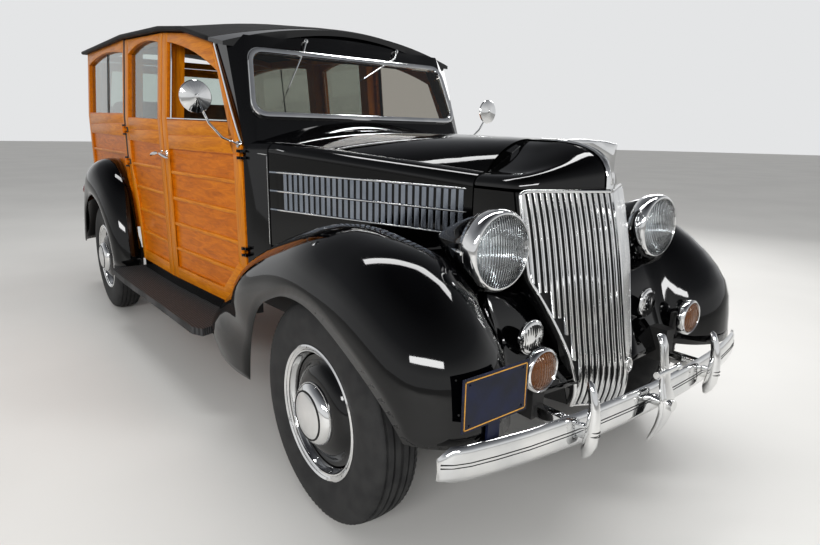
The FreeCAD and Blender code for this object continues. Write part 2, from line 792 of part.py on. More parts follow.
def strip_along(share, width, front, depth):
    wires = []
    for z in [row[0] for row in grille_ridge]:
        centre = grille_point(z, share)
        wires.append(polygon([centre + Vector(-width / 2, depth, 0), centre + Vector(-width / 2, -front * 0.5, 0),
                              centre + Vector(0, -front, 0), centre + Vector(width / 2, -front * 0.5, 0),
                              centre + Vector(width / 2, depth, 0)]))
    return Part.makeLoft(wires, True, True)


def cross_strip(z, height):
    a, b = grille_point(z, 0), grille_point(z, 1)
    edge = Vector(0, 16, 0)
    return prism([a + Vector(0, -10, 0), b + Vector(6, -10, 0), b + Vector(6, 16, 0), a + edge],
                 Vector(0, 0, height))


half_grille = bars + [strip_along(1.02, 16, 12, 20), cross_strip(size("grille_bottom") - 4, 14),
                      cross_strip(size("grille_top") - 10, 14), cross_strip(720, 4)]
half_grille = half_grille[0].multiFuse(half_grille[1:])
grille = half_grille.fuse([to_side(half_grille, -1), strip_along(0, 14, 14, 20)])
formed("grille", grille)

# Nose sides, from the grille back to the hood
nose_back = hood_front - gap
side_rows = []
for z, back_x, rim in ((size("grille_bottom"), 238, 14), (600, 250, 14), (722, 258, 14), (791, 262, 6),
                         (nose_low, 262, 1)):
    row = grille_at(z)
    side_rows.append(polygon([point(back_x, nose_back, z), point(row[2] + rim, row[3] + 6, z),
                              point(row[2] + rim - 5, row[3] + 6, z), point(back_x - 5, nose_back, z)]))
nose_side = Part.makeLoft(side_rows, True, True)
nose_shell = fused(nose_top_shell, hinge_strip, nose_side, to_side(nose_side, -1))
nose_shell = nose_shell.cut([grille, block(-336, 336, -240.3, -179.7, 431.7, 460.3)])
# the cut leaves slivers between the bars, which are dropped
formed("nose_shell", max(nose_shell.Solids, key=lambda piece: piece.Volume))

# Radiator and engine: plain blocks at their places
radiator = padded("radiator", "XY_Plane",
                  [("-200", "-30"), ("200", "-30"), ("200", "30"), ("-200", "30")], "560")
seat(radiator, y=front_axle_place + " - 210", z="740.3")
engine = padded("engine", "XY_Plane", [("-200", "0"), ("200", "0"), ("240", "90"), ("240", "560"),
                                      ("150", "640"), ("-150", "640"), ("-240", "560"), ("-240", "90")],
                "440")
seat(engine, y=front_axle_place + " - 20", z="740.3")

# Front fenders: arches on planes that fan round the wheel, then run down to the running board
fender_rows = (
    # inner edge, crown, lip: each x, station, height
    ((440, -478, 470), (590, -585, 470), (800, -478, 480)),
    ((440, -436, 590), (620, -545, 690), (822, -400, 572)),
    ((440, -333, 780), (640, -350, 868), (832, -232, 668)),
    ((440, -132, 806), (655, -120, 922), (834, -80, 722)),
    ((440, 60, 800), (660, 60, 926), (834, 60, 726)),
    ((480, 250, 780), (668, 250, 876), (830, 180, 690)),
    ((515, 440, 745), (668, 450, 800), (820, 290, 636)),
    ((560, 660, 700), (690, 640, 700), (806, 372, 560)),
    ((625, 880, 580), (710, 800, 560), (792, 440, 470)),
    ((618, 1076, 428), (735, 960, 424), (775, 500, 372)),
    ((625, 1080, 372), (745, 930, 345), (764, 540, 268)),
)
ledge_rows = (
    # where the fender's ledge meets the nose, hood and cowl
    (165, -461, 470),
    (187, -436, 570),
    (259, -316, 761),
    (268, -132, 736),
    (328, 60, 736),
    (391, 250, 736),
    (454, 440, 736),
    (528, 660, 704),
    (609, 880, 582),
)
wires = [crescent(*[point(*place) for place in row], size("sheet_wall")) for row in fender_rows]
front_fender = Part.makeLoft(wires, True, True)
ledge_wires = []
for place, row in zip(ledge_rows, fender_rows):
    start = point(*place)
    end = point(*row[0]) + Vector(3, 0, -1)
    deep = Vector(0, 3, -4)
    ledge_wires.append(polygon([start, end, end + deep, start + deep]))
ledge = [Part.makeLoft(list(pair), True, True) for pair in zip(ledge_wires, ledge_wires[1:])]
lamp_room = Part.makeCone(size("lamp_radius") - 11.7, size("lamp_radius") * 0.72 + 0.3, 60,
                          point(size("lamp_half_spacing"), size("lamp_face_station") + 60, size("lamp_height")),
                          Vector(0, 1, 0))
lamp_post = rod(point(408, -314, 760), point(408, -314, 830), 14).cut(lamp_room)
horn_post = rod(point(309, -437.7, 638), point(309, -395, 638), 20)
front_fender = front_fender.multiFuse(ledge + [lamp_post, horn_post])
lamp_mouth = Part.makeCylinder(size("lamp_radius") + 0.3, 62,
                               point(size("lamp_half_spacing"), size("lamp_face_station") - 2,
                                     size("lamp_height")), Vector(0, 1, 0))
front_fender = front_fender.cut([block(329.7, 380.3, -700, -300, 400, 550.3), lamp_mouth, lamp_room,
                                 block(600, 900, 939.7, 1200, 300, 370.3), nose_side, cowl_shell])
front_fender = max(front_fender.Solids, key=lambda piece: piece.Volume)
formed("front_fenders", front_fender, to_side(front_fender, -1))

# Rear fenders: the same, places measured from the rear axle
rear_fender_rows = (
    ((697.5, -462, 374), (785, -476, 374), (842, -395, 374)),
    ((697.5, -436, 600), (785, -446, 610), (850, -345, 560)),
    ((697.5, -352, 850), (780, -330, 860), (856, -215, 706)),
    ((693.5, -130, 1000), (776, -105, 1000), (860, -60, 764)),
    ((689, 130, 985), (772, 150, 970), (860, 120, 752)),
    ((684, 420, 800), (764, 430, 780), (854, 320, 650)),
    ((681, 600, 590), (754, 620, 560), (842, 480, 480)),
    ((680, 690, 378), (746, 716, 374), (830, 600, 372)),
)
wires = [crescent(*[point(x, station + size("wheelbase"), z) for x, station, z in row], size("sheet_wall"))
         for row in rear_fender_rows]
rear_fender = Part.makeLoft(wires, True, True)
rear_fender = rear_fender.fuse(rod(point(772, 3430, 570), point(772, 3430, 713.7), 9))
formed("rear_fenders", rear_fender, to_side(rear_fender, -1))

# Running boards
board_corners = [("632", "1000"), ("806", "940"), ("834", "1000"), ("848", "1450"), ("872", "2070"),
                 ("872", "2372"), ("632", "2372")]
boards = []
for label, side in sides("running_board"):
    corners = [(("-" if side < 0 else "") + across, along) for across, along in board_corners]
    board = padded(label, "XY_Plane", corners, "34")
    seat(board, y=front_axle_place, z="353")
    boards.append(board)
paired("running_boards", *boards)
valance = prism([point(0, 1096, 370.3), point(0, 2310, 370.3), point(0, 2310, sill - 1), point(0, 1096, sill - 1)],
                Vector(900, 0, 0)).common(side_band(6, 12, (1096, post_b, 2310), 360, lambda station: 1200))
formed("valance", valance, to_side(valance, -1))

# Chassis: two rails that kick up over the rear axle, cross members and the board brackets
rail_rows = (
    # half width to the inner face, station, height of the underside
    (330, -520, 430),
    (330, -120, 430),
    (400, 800, 400),
    (480, 2530, 400),
    (480, 2690, 618),
    (480, 3120, 618),
    (480, 3520, 460),
)
rails = []
for side in (1, -1):
    for low, high in zip(rail_rows, rail_rows[1:]):
        ends = [polygon([point(side * (x + dx), station, z + dz)
                         for dx, dz in ((0, 0), (50, 0), (50, 120), (0, 120))])
                for x, station, z in (low, high)]
        rails.append(Part.makeLoft(ends, True, True))
    for x, station in ((430, 1170), (480, 2150)):
        rails.append(to_side(block(x, x + 30, station - 15, station + 15, 322, 402), side))
        rails.append(to_side(block(x, 790, station - 15, station + 15, 322, 335.7), side))
    rails.append(to_side(block(379, 406, -512, -500, 520, 604), side))
    rails.append(rod(point(side * 398, -502, 597), point(side * 398, -529.7, 597), 8))
rails.append(block(-335, 335, -240, -180, 432, 460))
rails.append(block(-345, 345, -40, 40, 438.3, 520))
rails.append(block(-440, 440, 1200, 1280, 420, 500))
rails.append(block(-485, 485, 2700, 2760, 660, 737))
rails.append(block(-485, 485, 3440, 3516, 480, 560))
chassis = rails[0].multiFuse(rails[1:]).removeSplitter()
hole = Part.makeCylinder(11, 200, point(0, 3478, 440))
formed("chassis_frame", chassis.cut(hole))

# Floor: toe board, front floor, riser and load floor in one plate
floor_face = [point(-582, station, z) for station, z in
              ((790, 690), (944, 520.3), (2526, 520.3), (2526, 738.3), (body_rear - 44, 738.3),
               (body_rear - 44, 752), (2512, 752), (2512, 534), (950, 534), (800, 700))]
floor = prism(floor_face, Vector(1164, 0, 0))
formed("floor", floor.cut([to_side(block(563, 600, 780, 1000, 500, 760), side) for side in (1, -1)]))

# Front axle, rear axle and springs
kingpin_x = size("front_track") / 2 - size("kingpin_offset")
axle_pieces = [block(-500, 500, -22, 22, 270, 312)]
for side in (1, -1):
    yoke = [block(488, 584, -22, 22, 270, 320), block(560, 584, -22, 22, 300, 414),
            block(560, kingpin_x, -20, 20, 298, 312), block(560, kingpin_x, -20, 20, 398, 414),
            rod(point(kingpin_x, 0, 298), point(kingpin_x, 0, 312), 20),
            rod(point(kingpin_x, 0, 398), point(kingpin_x, 0, 414), 20)]
    axle_pieces += [to_side(piece, side) for piece in yoke]
    axle_pieces.append(rod(point(side * kingpin_x, 0, 300), point(side * kingpin_x, 0, 410), size("kingpin_radius")))
    axle_pieces.append(rod(point(side * 540, 18, 300), point(side * 40, 1080, 350), 14))
    axle_pieces.append(block(side * 500 - 12, side * 500 + 12, -20, 20, 310, 392))
axle_pieces.append(rod(point(-60, 1070, 350), point(60, 1070, 350), 20))
axle_pieces.append(Part.Face(Part.Wire([
    arc(point(-512, -22, 400), point(0, -22, 438), point(512, -22, 400)),
    line(point(512, -22, 400), point(512, -22, 388)),
    arc(point(512, -22, 388), point(0, -22, 400), point(-512, -22, 388)),
    line(point(-512, -22, 388), point(-512, -22, 400))])).extrude(Vector(0, 44, 0)))
formed("front_axle", axle_pieces[0].multiFuse(axle_pieces[1:]).removeSplitter())
drum_back = size("drum_radius")
casing_profile = (
    # along the axle from the middle, radius
    (0, 140),
    (40, 140),
    (90, 118),
    (150, 38),
    (613, 38),
    (613, drum_back),
    (625, drum_back),
)
casing = [Vector(x, 0, r) for x, r in casing_profile]
casing += [Vector(casing_profile[-1][0], 0, 0), Vector(-casing_profile[-1][0], 0, 0)]
casing += [Vector(-x, 0, r) for x, r in reversed(casing_profile[1:])]
housing = Part.Face(polygon(casing)).revolve(Vector(), Vector(1, 0, 0), 360)
housing.translate(Vector(0, rear_axle_y, size("tyre_radius")))
spring = Part.Face(Part.Wire([
    arc(point(-520, 2890, 470), point(0, 2890, 655), point(520, 2890, 470)),
    line(point(520, 2890, 470), point(520, 2890, 455)),
    arc(point(520, 2890, 455), point(0, 2890, 610), point(-520, 2890, 455)),
    line(point(-520, 2890, 455), point(-520, 2890, 470))])).extrude(Vector(0, 55, 0))
rear_pieces = [rod(point(0, 1090.3, 350), point(0, size("wheelbase"), size("tyre_radius")), 30), spring]
for side in (1, -1):
    rear_pieces.append(to_side(block(488, 518, 2860, 2920, 350, 470), side))
    rear_pieces.append(rod(point(side * 620, size("wheelbase"), size("tyre_radius")),
                           point(side * 780, size("wheelbase"), size("tyre_radius")), 19.7))
formed("rear_axle", housing.multiFuse(rear_pieces))

# Wheels and tyres, one profile each, turned about the axle line
tyre_profile = [("-sizes.rim_width / 2", "sizes.rim_radius + 0.3"), ("sizes.rim_width / 2", "sizes.rim_radius + 0.3"),
                ("sizes.tyre_width / 2", "sizes.rim_radius + 76"), ("sizes.tyre_width / 2 - 20", "sizes.tyre_radius"),
                ("-sizes.tyre_width / 2 + 20", "sizes.tyre_radius"), ("-sizes.tyre_width / 2", "sizes.rim_radius + 76")]
wheel_profile = [("-72", "216"), ("-66", "216"), ("-64", "203"), ("64", "203"), ("66", "216"), ("72", "216"),
                 ("72", "210"), ("42", "190"), ("34", "160"), ("66", "122"), ("72", "104"), ("100", "72"),
                 ("112", "0"), ("44", "0"), ("44", "20.3"), ("-52", "20.3"), ("-52", "146"), ("16", "146"),
                 ("20", "196"), ("-66", "196"), ("-72", "208")]
wheel_places = (
    # name, side, track, axle place
    ("front_left", 1, "sizes.front_track / 2", front_axle_place),
    ("front_right", -1, "-sizes.front_track / 2", front_axle_place),
    ("rear_left", 1, "sizes.rear_track / 2", front_axle_place + " + sizes.wheelbase"),
    ("rear_right", -1, "-sizes.rear_track / 2", front_axle_place + " + sizes.wheelbase"),
)
for name, side, across, along in wheel_places:
    for label, profile in (("tyre_" + name, tyre_profile), ("wheel_" + name, wheel_profile)):
        seat(turned(label, profile), across, along, "sizes.tyre_radius", 0 if side > 0 else 180)

# Knuckles: spindle, backing plate and the boss that turns on the kingpin
pin_room = size("kingpin_radius") + size("running_clearance")
wheel_x = size("front_track") / 2
for label, side in sides("knuckle"):
    centre = point(wheel_x, 0, size("tyre_radius"))
    outward = Vector(1, 0, 0)
    boss = rod(point(kingpin_x, 0, 312.5), point(kingpin_x, 0, 397.5), 24)
    stem = rod(centre - outward * 95, centre + outward * 40, size("spindle_radius"))
    plate_disc = rod(centre - outward * 66, centre - outward * 54, 146)
    flange = rod(centre - outward * 80, centre - outward * 60, 40)
    knuckle = fused(boss, stem, plate_disc, flange)
    knuckle = knuckle.cut(rod(point(kingpin_x, 0, 250), point(kingpin_x, 0, 450), pin_room))
    formed(label, to_side(knuckle, side))

# Bumpers


def swept_bar(rows, height, thickness, outward):
    """Curved bar through (x, station) rows, mirrored about the centre."""
    full = [(-x, station) for x, station in reversed(rows[1:])] + list(rows)
    wires = []
    for x, station in full:
        z = size("bumper_bottom")
        d = outward
        wires.append(polygon([point(x, station + d * thickness, z), point(x, station + d * 4, z + 6),
                              point(x, station, z + height * 0.3), point(x, station, z + height * 0.7),
                              point(x, station + d * 4, z + height - 6),
                              point(x, station + d * thickness, z + height)]))
    return Part.makeLoft(wires, True, False)


front_rows = ((0, -668), (260, -660), (520, -634), (690, -602), (757, -568))
front_bar = swept_bar(front_rows, size("bumper_height"), size("bumper_thickness"), 1)
guards = []
for x in (-336, 336):
    guards.append(prism([point(x - 20, -640, 366), point(x - 20, -690, 380), point(x - 20, -706, 440),
                         point(x - 20, -704, 520), point(x - 20, -690, 590), point(x - 20, -676, 590),
                         point(x - 20, -650, 500)], Vector(40, 0, 0)))
guards.append(prism([point(-26, -650, 300), point(-26, -700, 330), point(-26, -742, 440),
                     point(-26, -735, 520), point(-26, -700, 620), point(-26, -680, 620),
                     point(-26, -655, 500)], Vector(52, 0, 0)))
irons = [block(x - 18, x + 18, -646, -520.3, 434, 474) for x in (-355, 355)]
formed("front_bumper", front_bar.multiFuse(guards + irons).removeSplitter())
rear_rows = ((0, 3920), (260, 3915), (520, 3890), (700, 3850), (788, 3800))
rear_bar = swept_bar([(x, station) for x, station in rear_rows], size("bumper_height"),
                     size("bumper_thickness"), -1)
rear_guards = [block(x - 20, x + 20, 3900, 3935, 370, 560) for x in (-300, 300)]
rear_irons = [block(x - 20, x + 20, 3520.3, 3905, 462, 488) for x in (-505, 505)]
formed("rear_bumper", rear_bar.multiFuse(rear_guards + rear_irons).removeSplitter())

# Lamps
lamp_profile = [("0", "0"), ("0", "sizes.lamp_radius"), ("18", "sizes.lamp_radius"),
                ("60", "sizes.lamp_radius - 12"), ("120", "sizes.lamp_radius * 0.72"),
                ("200", "sizes.lamp_radius * 0.42"), ("sizes.lamp_length", "sizes.lamp_radius * 0.1"),
                ("sizes.lamp_length", "0")]
lens_profile = [("0", "0"), ("-22", "0"), ("-18", "50"), ("-8", "92"), ("0", "104")]
fog_profile = [("-22", "0"), ("-18", "40"), ("-8", "sizes.fog_radius"), ("4", "sizes.fog_radius"),
               ("16", "30"), ("16", "0")]
horn_profile = [("-14", "0"), ("-10", "30"), ("0", "sizes.horn_radius"), ("8", "sizes.horn_radius"),
                ("8", "0")]
tail_profile = [("0", "0"), ("0", "34"), ("14", "46"), ("40", "46"), ("54", "30"), ("58", "0")]
lamp_places = (
    # name, profile, half spacing, station of the face, height, quarter turn
    ("headlamp", lamp_profile, "sizes.lamp_half_spacing", "sizes.lamp_face_station", "sizes.lamp_height"),
    ("headlamp_lens", lens_profile, "sizes.lamp_half_spacing", "sizes.lamp_face_station - 0.3",
     "sizes.lamp_height"),
    ("fog_lamp", fog_profile, "sizes.fog_half_spacing", "sizes.fog_face_station", "sizes.fog_height"),
    ("horn_grille", horn_profile, "sizes.horn_half_spacing", "sizes.horn_face_station", "sizes.horn_height"),
    ("tail_lamp", tail_profile, "772", "3405", "760"),
)
for name, profile, half_spacing, station, height in lamp_places:
    lamps = []
    for label, side in sides(name):
        lamp = turned(label, profile)
        seat(lamp, "%d * %s" % (side, half_spacing), front_axle_place + " + (" + station + ")", height, 90)
        lamps.append(lamp)
    paired(name + "s" if name != "headlamp_lens" else "headlamp_lenses", *lamps)

# Tailgate with the spare, and the liftgate above it
gate_half = size("half_width_rear") - wall - 50
gate_low = floor_top
tail_top = belt(body_rear) - 4
tailgate = block(-gate_half, gate_half, body_rear - 38, body_rear, gate_low, tail_top)
carrier = Part.makeCylinder(70, 159, point(0, body_rear - 10, 930), Vector(0, 1, 0))
carrier = carrier.fuse(Part.makeCylinder(39, 200, point(0, body_rear - 10, 930), Vector(0, 1, 0)))
formed("tailgate", fused(tailgate, carrier, *[moving for fixed, moving in tail_hinges]))
lift_half_top = skin(body_rear, eave(body_rear)) - wall - 50
lift_ring = [point(-gate_half, body_rear, tail_top + gap), point(gate_half, body_rear, tail_top + gap),
             point(lift_half_top, body_rear, header_low - gap), point(-lift_half_top, body_rear, header_low - gap)]
liftgate = prism(lift_ring, Vector(0, -38, 0))
lift_hole = [point(70 - gate_half, body_rear + 10, tail_top + gap + 70),
             point(gate_half - 70, body_rear + 10, tail_top + gap + 70),
             point(lift_half_top - 66, body_rear + 10, header_low - gap - 60),
             point(66 - lift_half_top, body_rear + 10, header_low - gap - 60)]
liftgate = liftgate.cut(prism(lift_hole, Vector(0, -60, 0)))
formed("liftgate", liftgate.multiFuse([moving for fixed, moving in lift_hinges]))
glass_hole = [at + Vector(0, -28, 0) for at in lift_hole]
formed("liftgate_glass", prism(glass_hole, Vector(0, -5, 0)).common(
    block(-900, 900, body_rear - 30, body_rear - 10, tail_top + gap + 70.3, header_low - gap - 60.3)))
spare_height = 930
spare_profile = [("-72", "216"), ("-66", "216"), ("-64", "203"), ("64", "203"), ("66", "216"), ("72", "216"),
                 ("72", "210"), ("42", "190"), ("34", "160"), ("66", "122"), ("72", "104"), ("72", "40"),
                 ("66", "40"), ("66", "100"), ("28", "150"), ("20", "196"), ("-66", "196"), ("-72", "208")]
for label, profile in (("spare_tyre", tyre_profile), ("spare_wheel", spare_profile)):
    seat(turned(label, profile), "0", front_axle_place + " + sizes.body_rear_station + 100", "930", 90)

# Inside: dashboard, seats and steering wheel
seat_rows = (
    # front edge of the cushion, its underside, its top
    (1330, 534.3, 780),
    (2090, 534.3, 780),
    (2900, 752.3, 970),
)
cushion_run = 420
seats = []
for station, low, high in seat_rows:
    foot = station + cushion_run
    squab_low = 752.3 if foot > 2500 else low
    seats.append(block(-555, 555, station, foot, low, high))
    seats.append(prism([point(-555, foot + 0.3, squab_low), point(-555, foot + 70, squab_low),
                        point(-555, foot + 170, high + 470), point(-555, foot + 90, high + 470)],
                       Vector(1110, 0, 0)))
formed("seats", *seats)
ring_section = polygon([Vector(215 + 11 * math.cos(math.radians(turn)), 0, 11 * math.sin(math.radians(turn)))
                        for turn in range(0, 360, 45)])
wheel_ring = Part.Face(ring_section).revolve(Vector(), Vector(0, 0, 1), 360)
spoke = Part.makeBox(424, 16, 10, Vector(-212, -8, -6))
hub = Part.makeCylinder(30, 32, Vector(0, 0, -26))
column_slope = 48
wheel_centre = point(330, 1210, 1080)
column_run = Vector(0, -math.sin(math.radians(column_slope)), -math.cos(math.radians(column_slope)))
formed("steering_wheel", fused(wheel_ring, spoke, hub),
       place=Placement(wheel_centre, Rotation(Vector(1, 0, 0), -column_slope)))
column = Part.makeCylinder(20, 524, wheel_centre + column_run * 27, column_run)
dash = fused(block(-560, 560, 850, 881, 1040, 1150), block(-589.9, 589.9, 852, 868, 1060, 1110),
             block(322, 338, 862, 880, 780, 1045))
formed("dashboard", dash.fuse(column))

# Mirrors
for label, side in sides("mirror"):
    disc = Part.makeCylinder(62, 16, point(side * 794, 850, 1330), Vector(0, 1, 0))
    arm = rod(point(side * (skin(905, 1150) + 3.2), 905, 1150), point(side * 780, 860, 1312), 5)
    formed(label, disc.fuse(arm))

# Number plate: blank, with its four fixing holes
plate_x, plate_station, plate_z = -614, -600, 600
plate_half, plate_rise = 111, 67
plate = block(plate_x - plate_half, plate_x + plate_half, plate_station, plate_station + 4,
              plate_z - plate_rise, plate_z + plate_rise)
bracket = block(plate_x - 20, plate_x + 20, plate_station + 4, plate_station + 12, 440, 640).cut(front_bar)
plate = plate.fuse(bracket)
for across in (-90, 90):
    for up in (-50, 50):
        hole_at = point(plate_x + across, plate_station - 10, plate_z + up)
        plate = plate.cut(Part.makeCylinder(3.5, 30, hole_at, Vector(0, 1, 0)))
formed("number_plate", plate)

# Fuel tank and exhaust
formed("fuel_tank", block(-400, 400, 3180, 3439.7, 440, 600))
exhaust_bends = (
    # x, station, height
    (250, 760, 345),
    (250, 2600, 345),
    (300, 2730, 470),
    (300, 2960, 470),
    (440, 3130, 400),
    (440, 3660, 400),
)
pipe = [rod(point(*low), point(*high), 22) for low, high in zip(exhaust_bends, exhaust_bends[1:])]
pipe += [Part.makeSphere(22, point(*bend)) for bend in exhaust_bends[1:-1]]
pipe.append(rod(point(250, 1700, 345), point(250, 2250, 345), 62))
pipe += [block(244, 256, 1230, 1250, 350, 419.7), block(434, 446, 3470, 3490, 410, 479.7)]
formed("exhaust", fused(*pipe))

doc.recompute()

faults = [thing.Label for thing in doc.Objects if "Invalid" in thing.State or "Error" in thing.State]
faults += [thing.Label for thing in sub_parts if thing.Shape.isNull() or not thing.Shape.isValid()]
if faults:
    raise RuntimeError("failed: " + ", ".join(faults))
for thing in sub_parts:
    thing.Shape.exportStep(os.path.join("parts", thing.Label + ".step"))
print(len(sub_parts), "sub-parts")
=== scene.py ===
# Station wagon with a wooden body: materials, finer pieces, light and camera.
# The tables are in millimetres, and station is the distance behind the front axle.
import json
from math import atan2, cos, hypot, pi, radians, sin

import bmesh
import bpy
from mathutils import Matrix, Vector

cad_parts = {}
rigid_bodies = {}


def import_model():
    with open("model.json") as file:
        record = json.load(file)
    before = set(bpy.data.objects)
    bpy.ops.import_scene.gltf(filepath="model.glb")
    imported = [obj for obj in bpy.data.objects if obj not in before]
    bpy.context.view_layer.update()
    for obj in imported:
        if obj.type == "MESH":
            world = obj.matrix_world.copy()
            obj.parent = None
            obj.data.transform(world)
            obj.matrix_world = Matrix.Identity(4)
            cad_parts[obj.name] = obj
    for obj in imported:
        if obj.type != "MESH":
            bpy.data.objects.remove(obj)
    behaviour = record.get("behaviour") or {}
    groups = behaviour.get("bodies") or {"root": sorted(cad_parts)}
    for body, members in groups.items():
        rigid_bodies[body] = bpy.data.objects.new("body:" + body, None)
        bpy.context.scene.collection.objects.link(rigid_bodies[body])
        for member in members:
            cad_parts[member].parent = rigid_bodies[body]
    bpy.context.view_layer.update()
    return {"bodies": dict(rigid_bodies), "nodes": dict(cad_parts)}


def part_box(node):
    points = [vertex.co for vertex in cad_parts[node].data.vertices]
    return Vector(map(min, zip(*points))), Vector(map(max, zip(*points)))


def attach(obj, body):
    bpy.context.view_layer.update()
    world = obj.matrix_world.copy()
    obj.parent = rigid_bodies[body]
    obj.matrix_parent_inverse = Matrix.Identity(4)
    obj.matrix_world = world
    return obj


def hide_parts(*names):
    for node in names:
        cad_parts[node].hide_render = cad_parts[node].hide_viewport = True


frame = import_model()
scene = bpy.context.scene
sides = (("left", 1), ("right", -1))
acrossCar, alongCar, upright = Vector((1, 0, 0)), Vector((0, 1, 0)), Vector((0, 0, 1))
print("frame loaded:", len(frame["nodes"]), "nodes")

body = {
    "axle": 1596.5, "start": 882, "run": 2838, "beltLow": 1237, "beltRise": 65, "lean": 38, "leanHigh": 450,
    "belt": ((882, 612), (1750, 680), (2455, 698), (3720, 676)),
    "eave": ((882, 1522), (1170, 1582), (1450, 1650), (1750, 1684), (2455, 1722), (3720, 1752)),
}


def at(x, station, z):
    return Vector((x, station - body["axle"], z)) / 1000


def path(side, points):
    return [at(side * x, s, z) for x, s, z in points]


def mix(a, b, share):
    return a + share * (b - a)


def along(rows, value):
    # the second column of the rows, read at a value of the first
    for low, high in zip(rows, rows[1:]):
        if value <= high[0] or high is rows[-1]:
            return mix(low[1], high[1], (value - low[0]) / (high[0] - low[0]))


def beltAt(station):
    return body["beltLow"] + (station - body["start"]) / body["run"] * body["beltRise"]


def eaveAt(station):
    return along(body["eave"], station)


def skinAt(station, z):
    # half the body's width: upright to the belt, leaning in above it
    return along(body["belt"], station) - body["lean"] * max(0, z - beltAt(station)) / body["leanHigh"]


# Materials
wavePitch = 0.314  # width in metres of one band of a wave texture at a scale of 1


def linear(code):
    parts = [int(code[n:n + 2], 16) / 255 for n in (0, 2, 4)]
    return tuple(p / 12.92 if p <= 0.04045 else ((p + 0.055) / 1.055) ** 2.4 for p in parts) + (1,)


def addNode(tree, kind, settings=None, links=None):
    node = tree.nodes.new(kind)
    for name, value in (settings or {}).items():
        if name == "stops":
            for n, (place, code) in enumerate(value):
                stop = node.color_ramp.elements[n] if n < 2 else node.color_ramp.elements.new(place)
                stop.position = place
                stop.color = linear(code)
        elif isinstance(name, str) and hasattr(node, name):
            setattr(node, name, value)
        else:
            node.inputs[name].default_value = value
    for name, source in (links or {}).items():
        tree.links.new(source, node.inputs[name])
    return node


def newMaterial(name, settings):
    material = bpy.data.materials.new(name)
    material.use_nodes = True
    tree = material.node_tree
    for key, value in settings.items():
        tree.nodes["Principled BSDF"].inputs[key].default_value = value
    return material, tree, addNode(tree, "ShaderNodeTexCoord").outputs["Object"]


def dressed(material, tree, colour, gloss, relief):
    # gloss is (source, least, most), relief (source, strength, depth in metres)
    inputs = tree.nodes["Principled BSDF"].inputs
    rough = addNode(tree, "ShaderNodeMapRange", {"To Min": gloss[1], "To Max": gloss[2]}, {"Value": gloss[0]})
    tree.links.new(rough.outputs["Result"], inputs["Roughness"])
    if colour:
        tree.links.new(colour, inputs["Base Color"])
    if relief:
        bump = addNode(tree, "ShaderNodeBump", {"Strength": relief[1], "Distance": relief[2]}, {"Height": relief[0]})
        tree.links.new(bump.outputs["Normal"], inputs["Normal"])
    return material


def speckled(name, settings, codes, size, roughness, bump, depth):
    # colour and gloss drift over a noise of the given size, with a bump of its own size and depth, in metres
    material, tree, place = newMaterial(name, settings)
    drift = addNode(tree, "ShaderNodeTexNoise", {"Scale": 1 / size, "Detail": 3}, {"Vector": place}).outputs["Fac"]
    fine = addNode(tree, "ShaderNodeTexNoise", {"Scale": 1 / bump, "Detail": 2}, {"Vector": place}).outputs["Fac"]
    colour = addNode(tree, "ShaderNodeValToRGB", {"stops": ((0.35, codes[0]), (0.65, codes[1]))}, {"Fac": drift})
    return dressed(material, tree, colour.outputs["Color"], (drift, *roughness), (fine, 0.6, depth))


def wood(name, stretch, codes, seed):
    # spar-varnished hardwood: fine pores and broad figure along the grain under a clear glossy coat
    material, tree, place = newMaterial(name, {"Specular IOR Level": 0.12, "Coat Weight": 0.035,
                                               "Coat Roughness": 0.06})
    shift = addNode(tree, "ShaderNodeMapping",
                    {"Scale": stretch, "Location": (seed * 1.7, seed * 0.9, seed * 0.4)},
                    {"Vector": place}).outputs["Vector"]
    figure = addNode(tree, "ShaderNodeTexNoise", {"Scale": 6, "Detail": 5, "Roughness": 0.6, "Distortion": 1.1},
                     {"Vector": shift})
    ramp = addNode(tree, "ShaderNodeValToRGB", {"stops": ((0.28, codes[0]), (0.72, codes[2]), (0.5, codes[1]))},
                   {"Fac": figure.outputs["Fac"]})
    pores = addNode(tree, "ShaderNodeTexNoise", {"Scale": 70, "Detail": 2}, {"Vector": shift}).outputs["Fac"]
    dark = addNode(tree, "ShaderNodeMapRange", {"From Min": 0.3, "From Max": 0.55, "To Min": 0.9, "To Max": 1.0},
                   {"Value": pores})
    toned = addNode(tree, "ShaderNodeMix", {"data_type": "RGBA", "blend_type": "MULTIPLY", 0: 1.0},
                    {6: ramp.outputs["Color"], 7: dark.outputs["Result"]})
    return dressed(material, tree, toned.outputs[2], (pores, 0.28, 0.44), (pores, 0.25, 0.0006))


def clear(name, code, drift, roughness, flute=0, settings=None):
    # glass: the colour is the shader's own, the noise moves the gloss by drift; flute is one flute's width in metres
    facts = {"Base Color": linear(code), "Transmission Weight": 1.0, "IOR": 1.5, "Roughness": roughness}
    material, tree, place = newMaterial(name, {**facts, **(settings or {})})
    noise = addNode(tree, "ShaderNodeTexNoise", {"Scale": 9}, {"Vector": place}).outputs["Fac"]
    relief = None
    if flute:
        wave = addNode(tree, "ShaderNodeTexWave", {"Scale": wavePitch / flute}, {"Vector": place}).outputs["Fac"]
        relief = (wave, 0.8, 0.002)
    return dressed(material, tree, None, (noise, roughness, roughness + drift), relief)


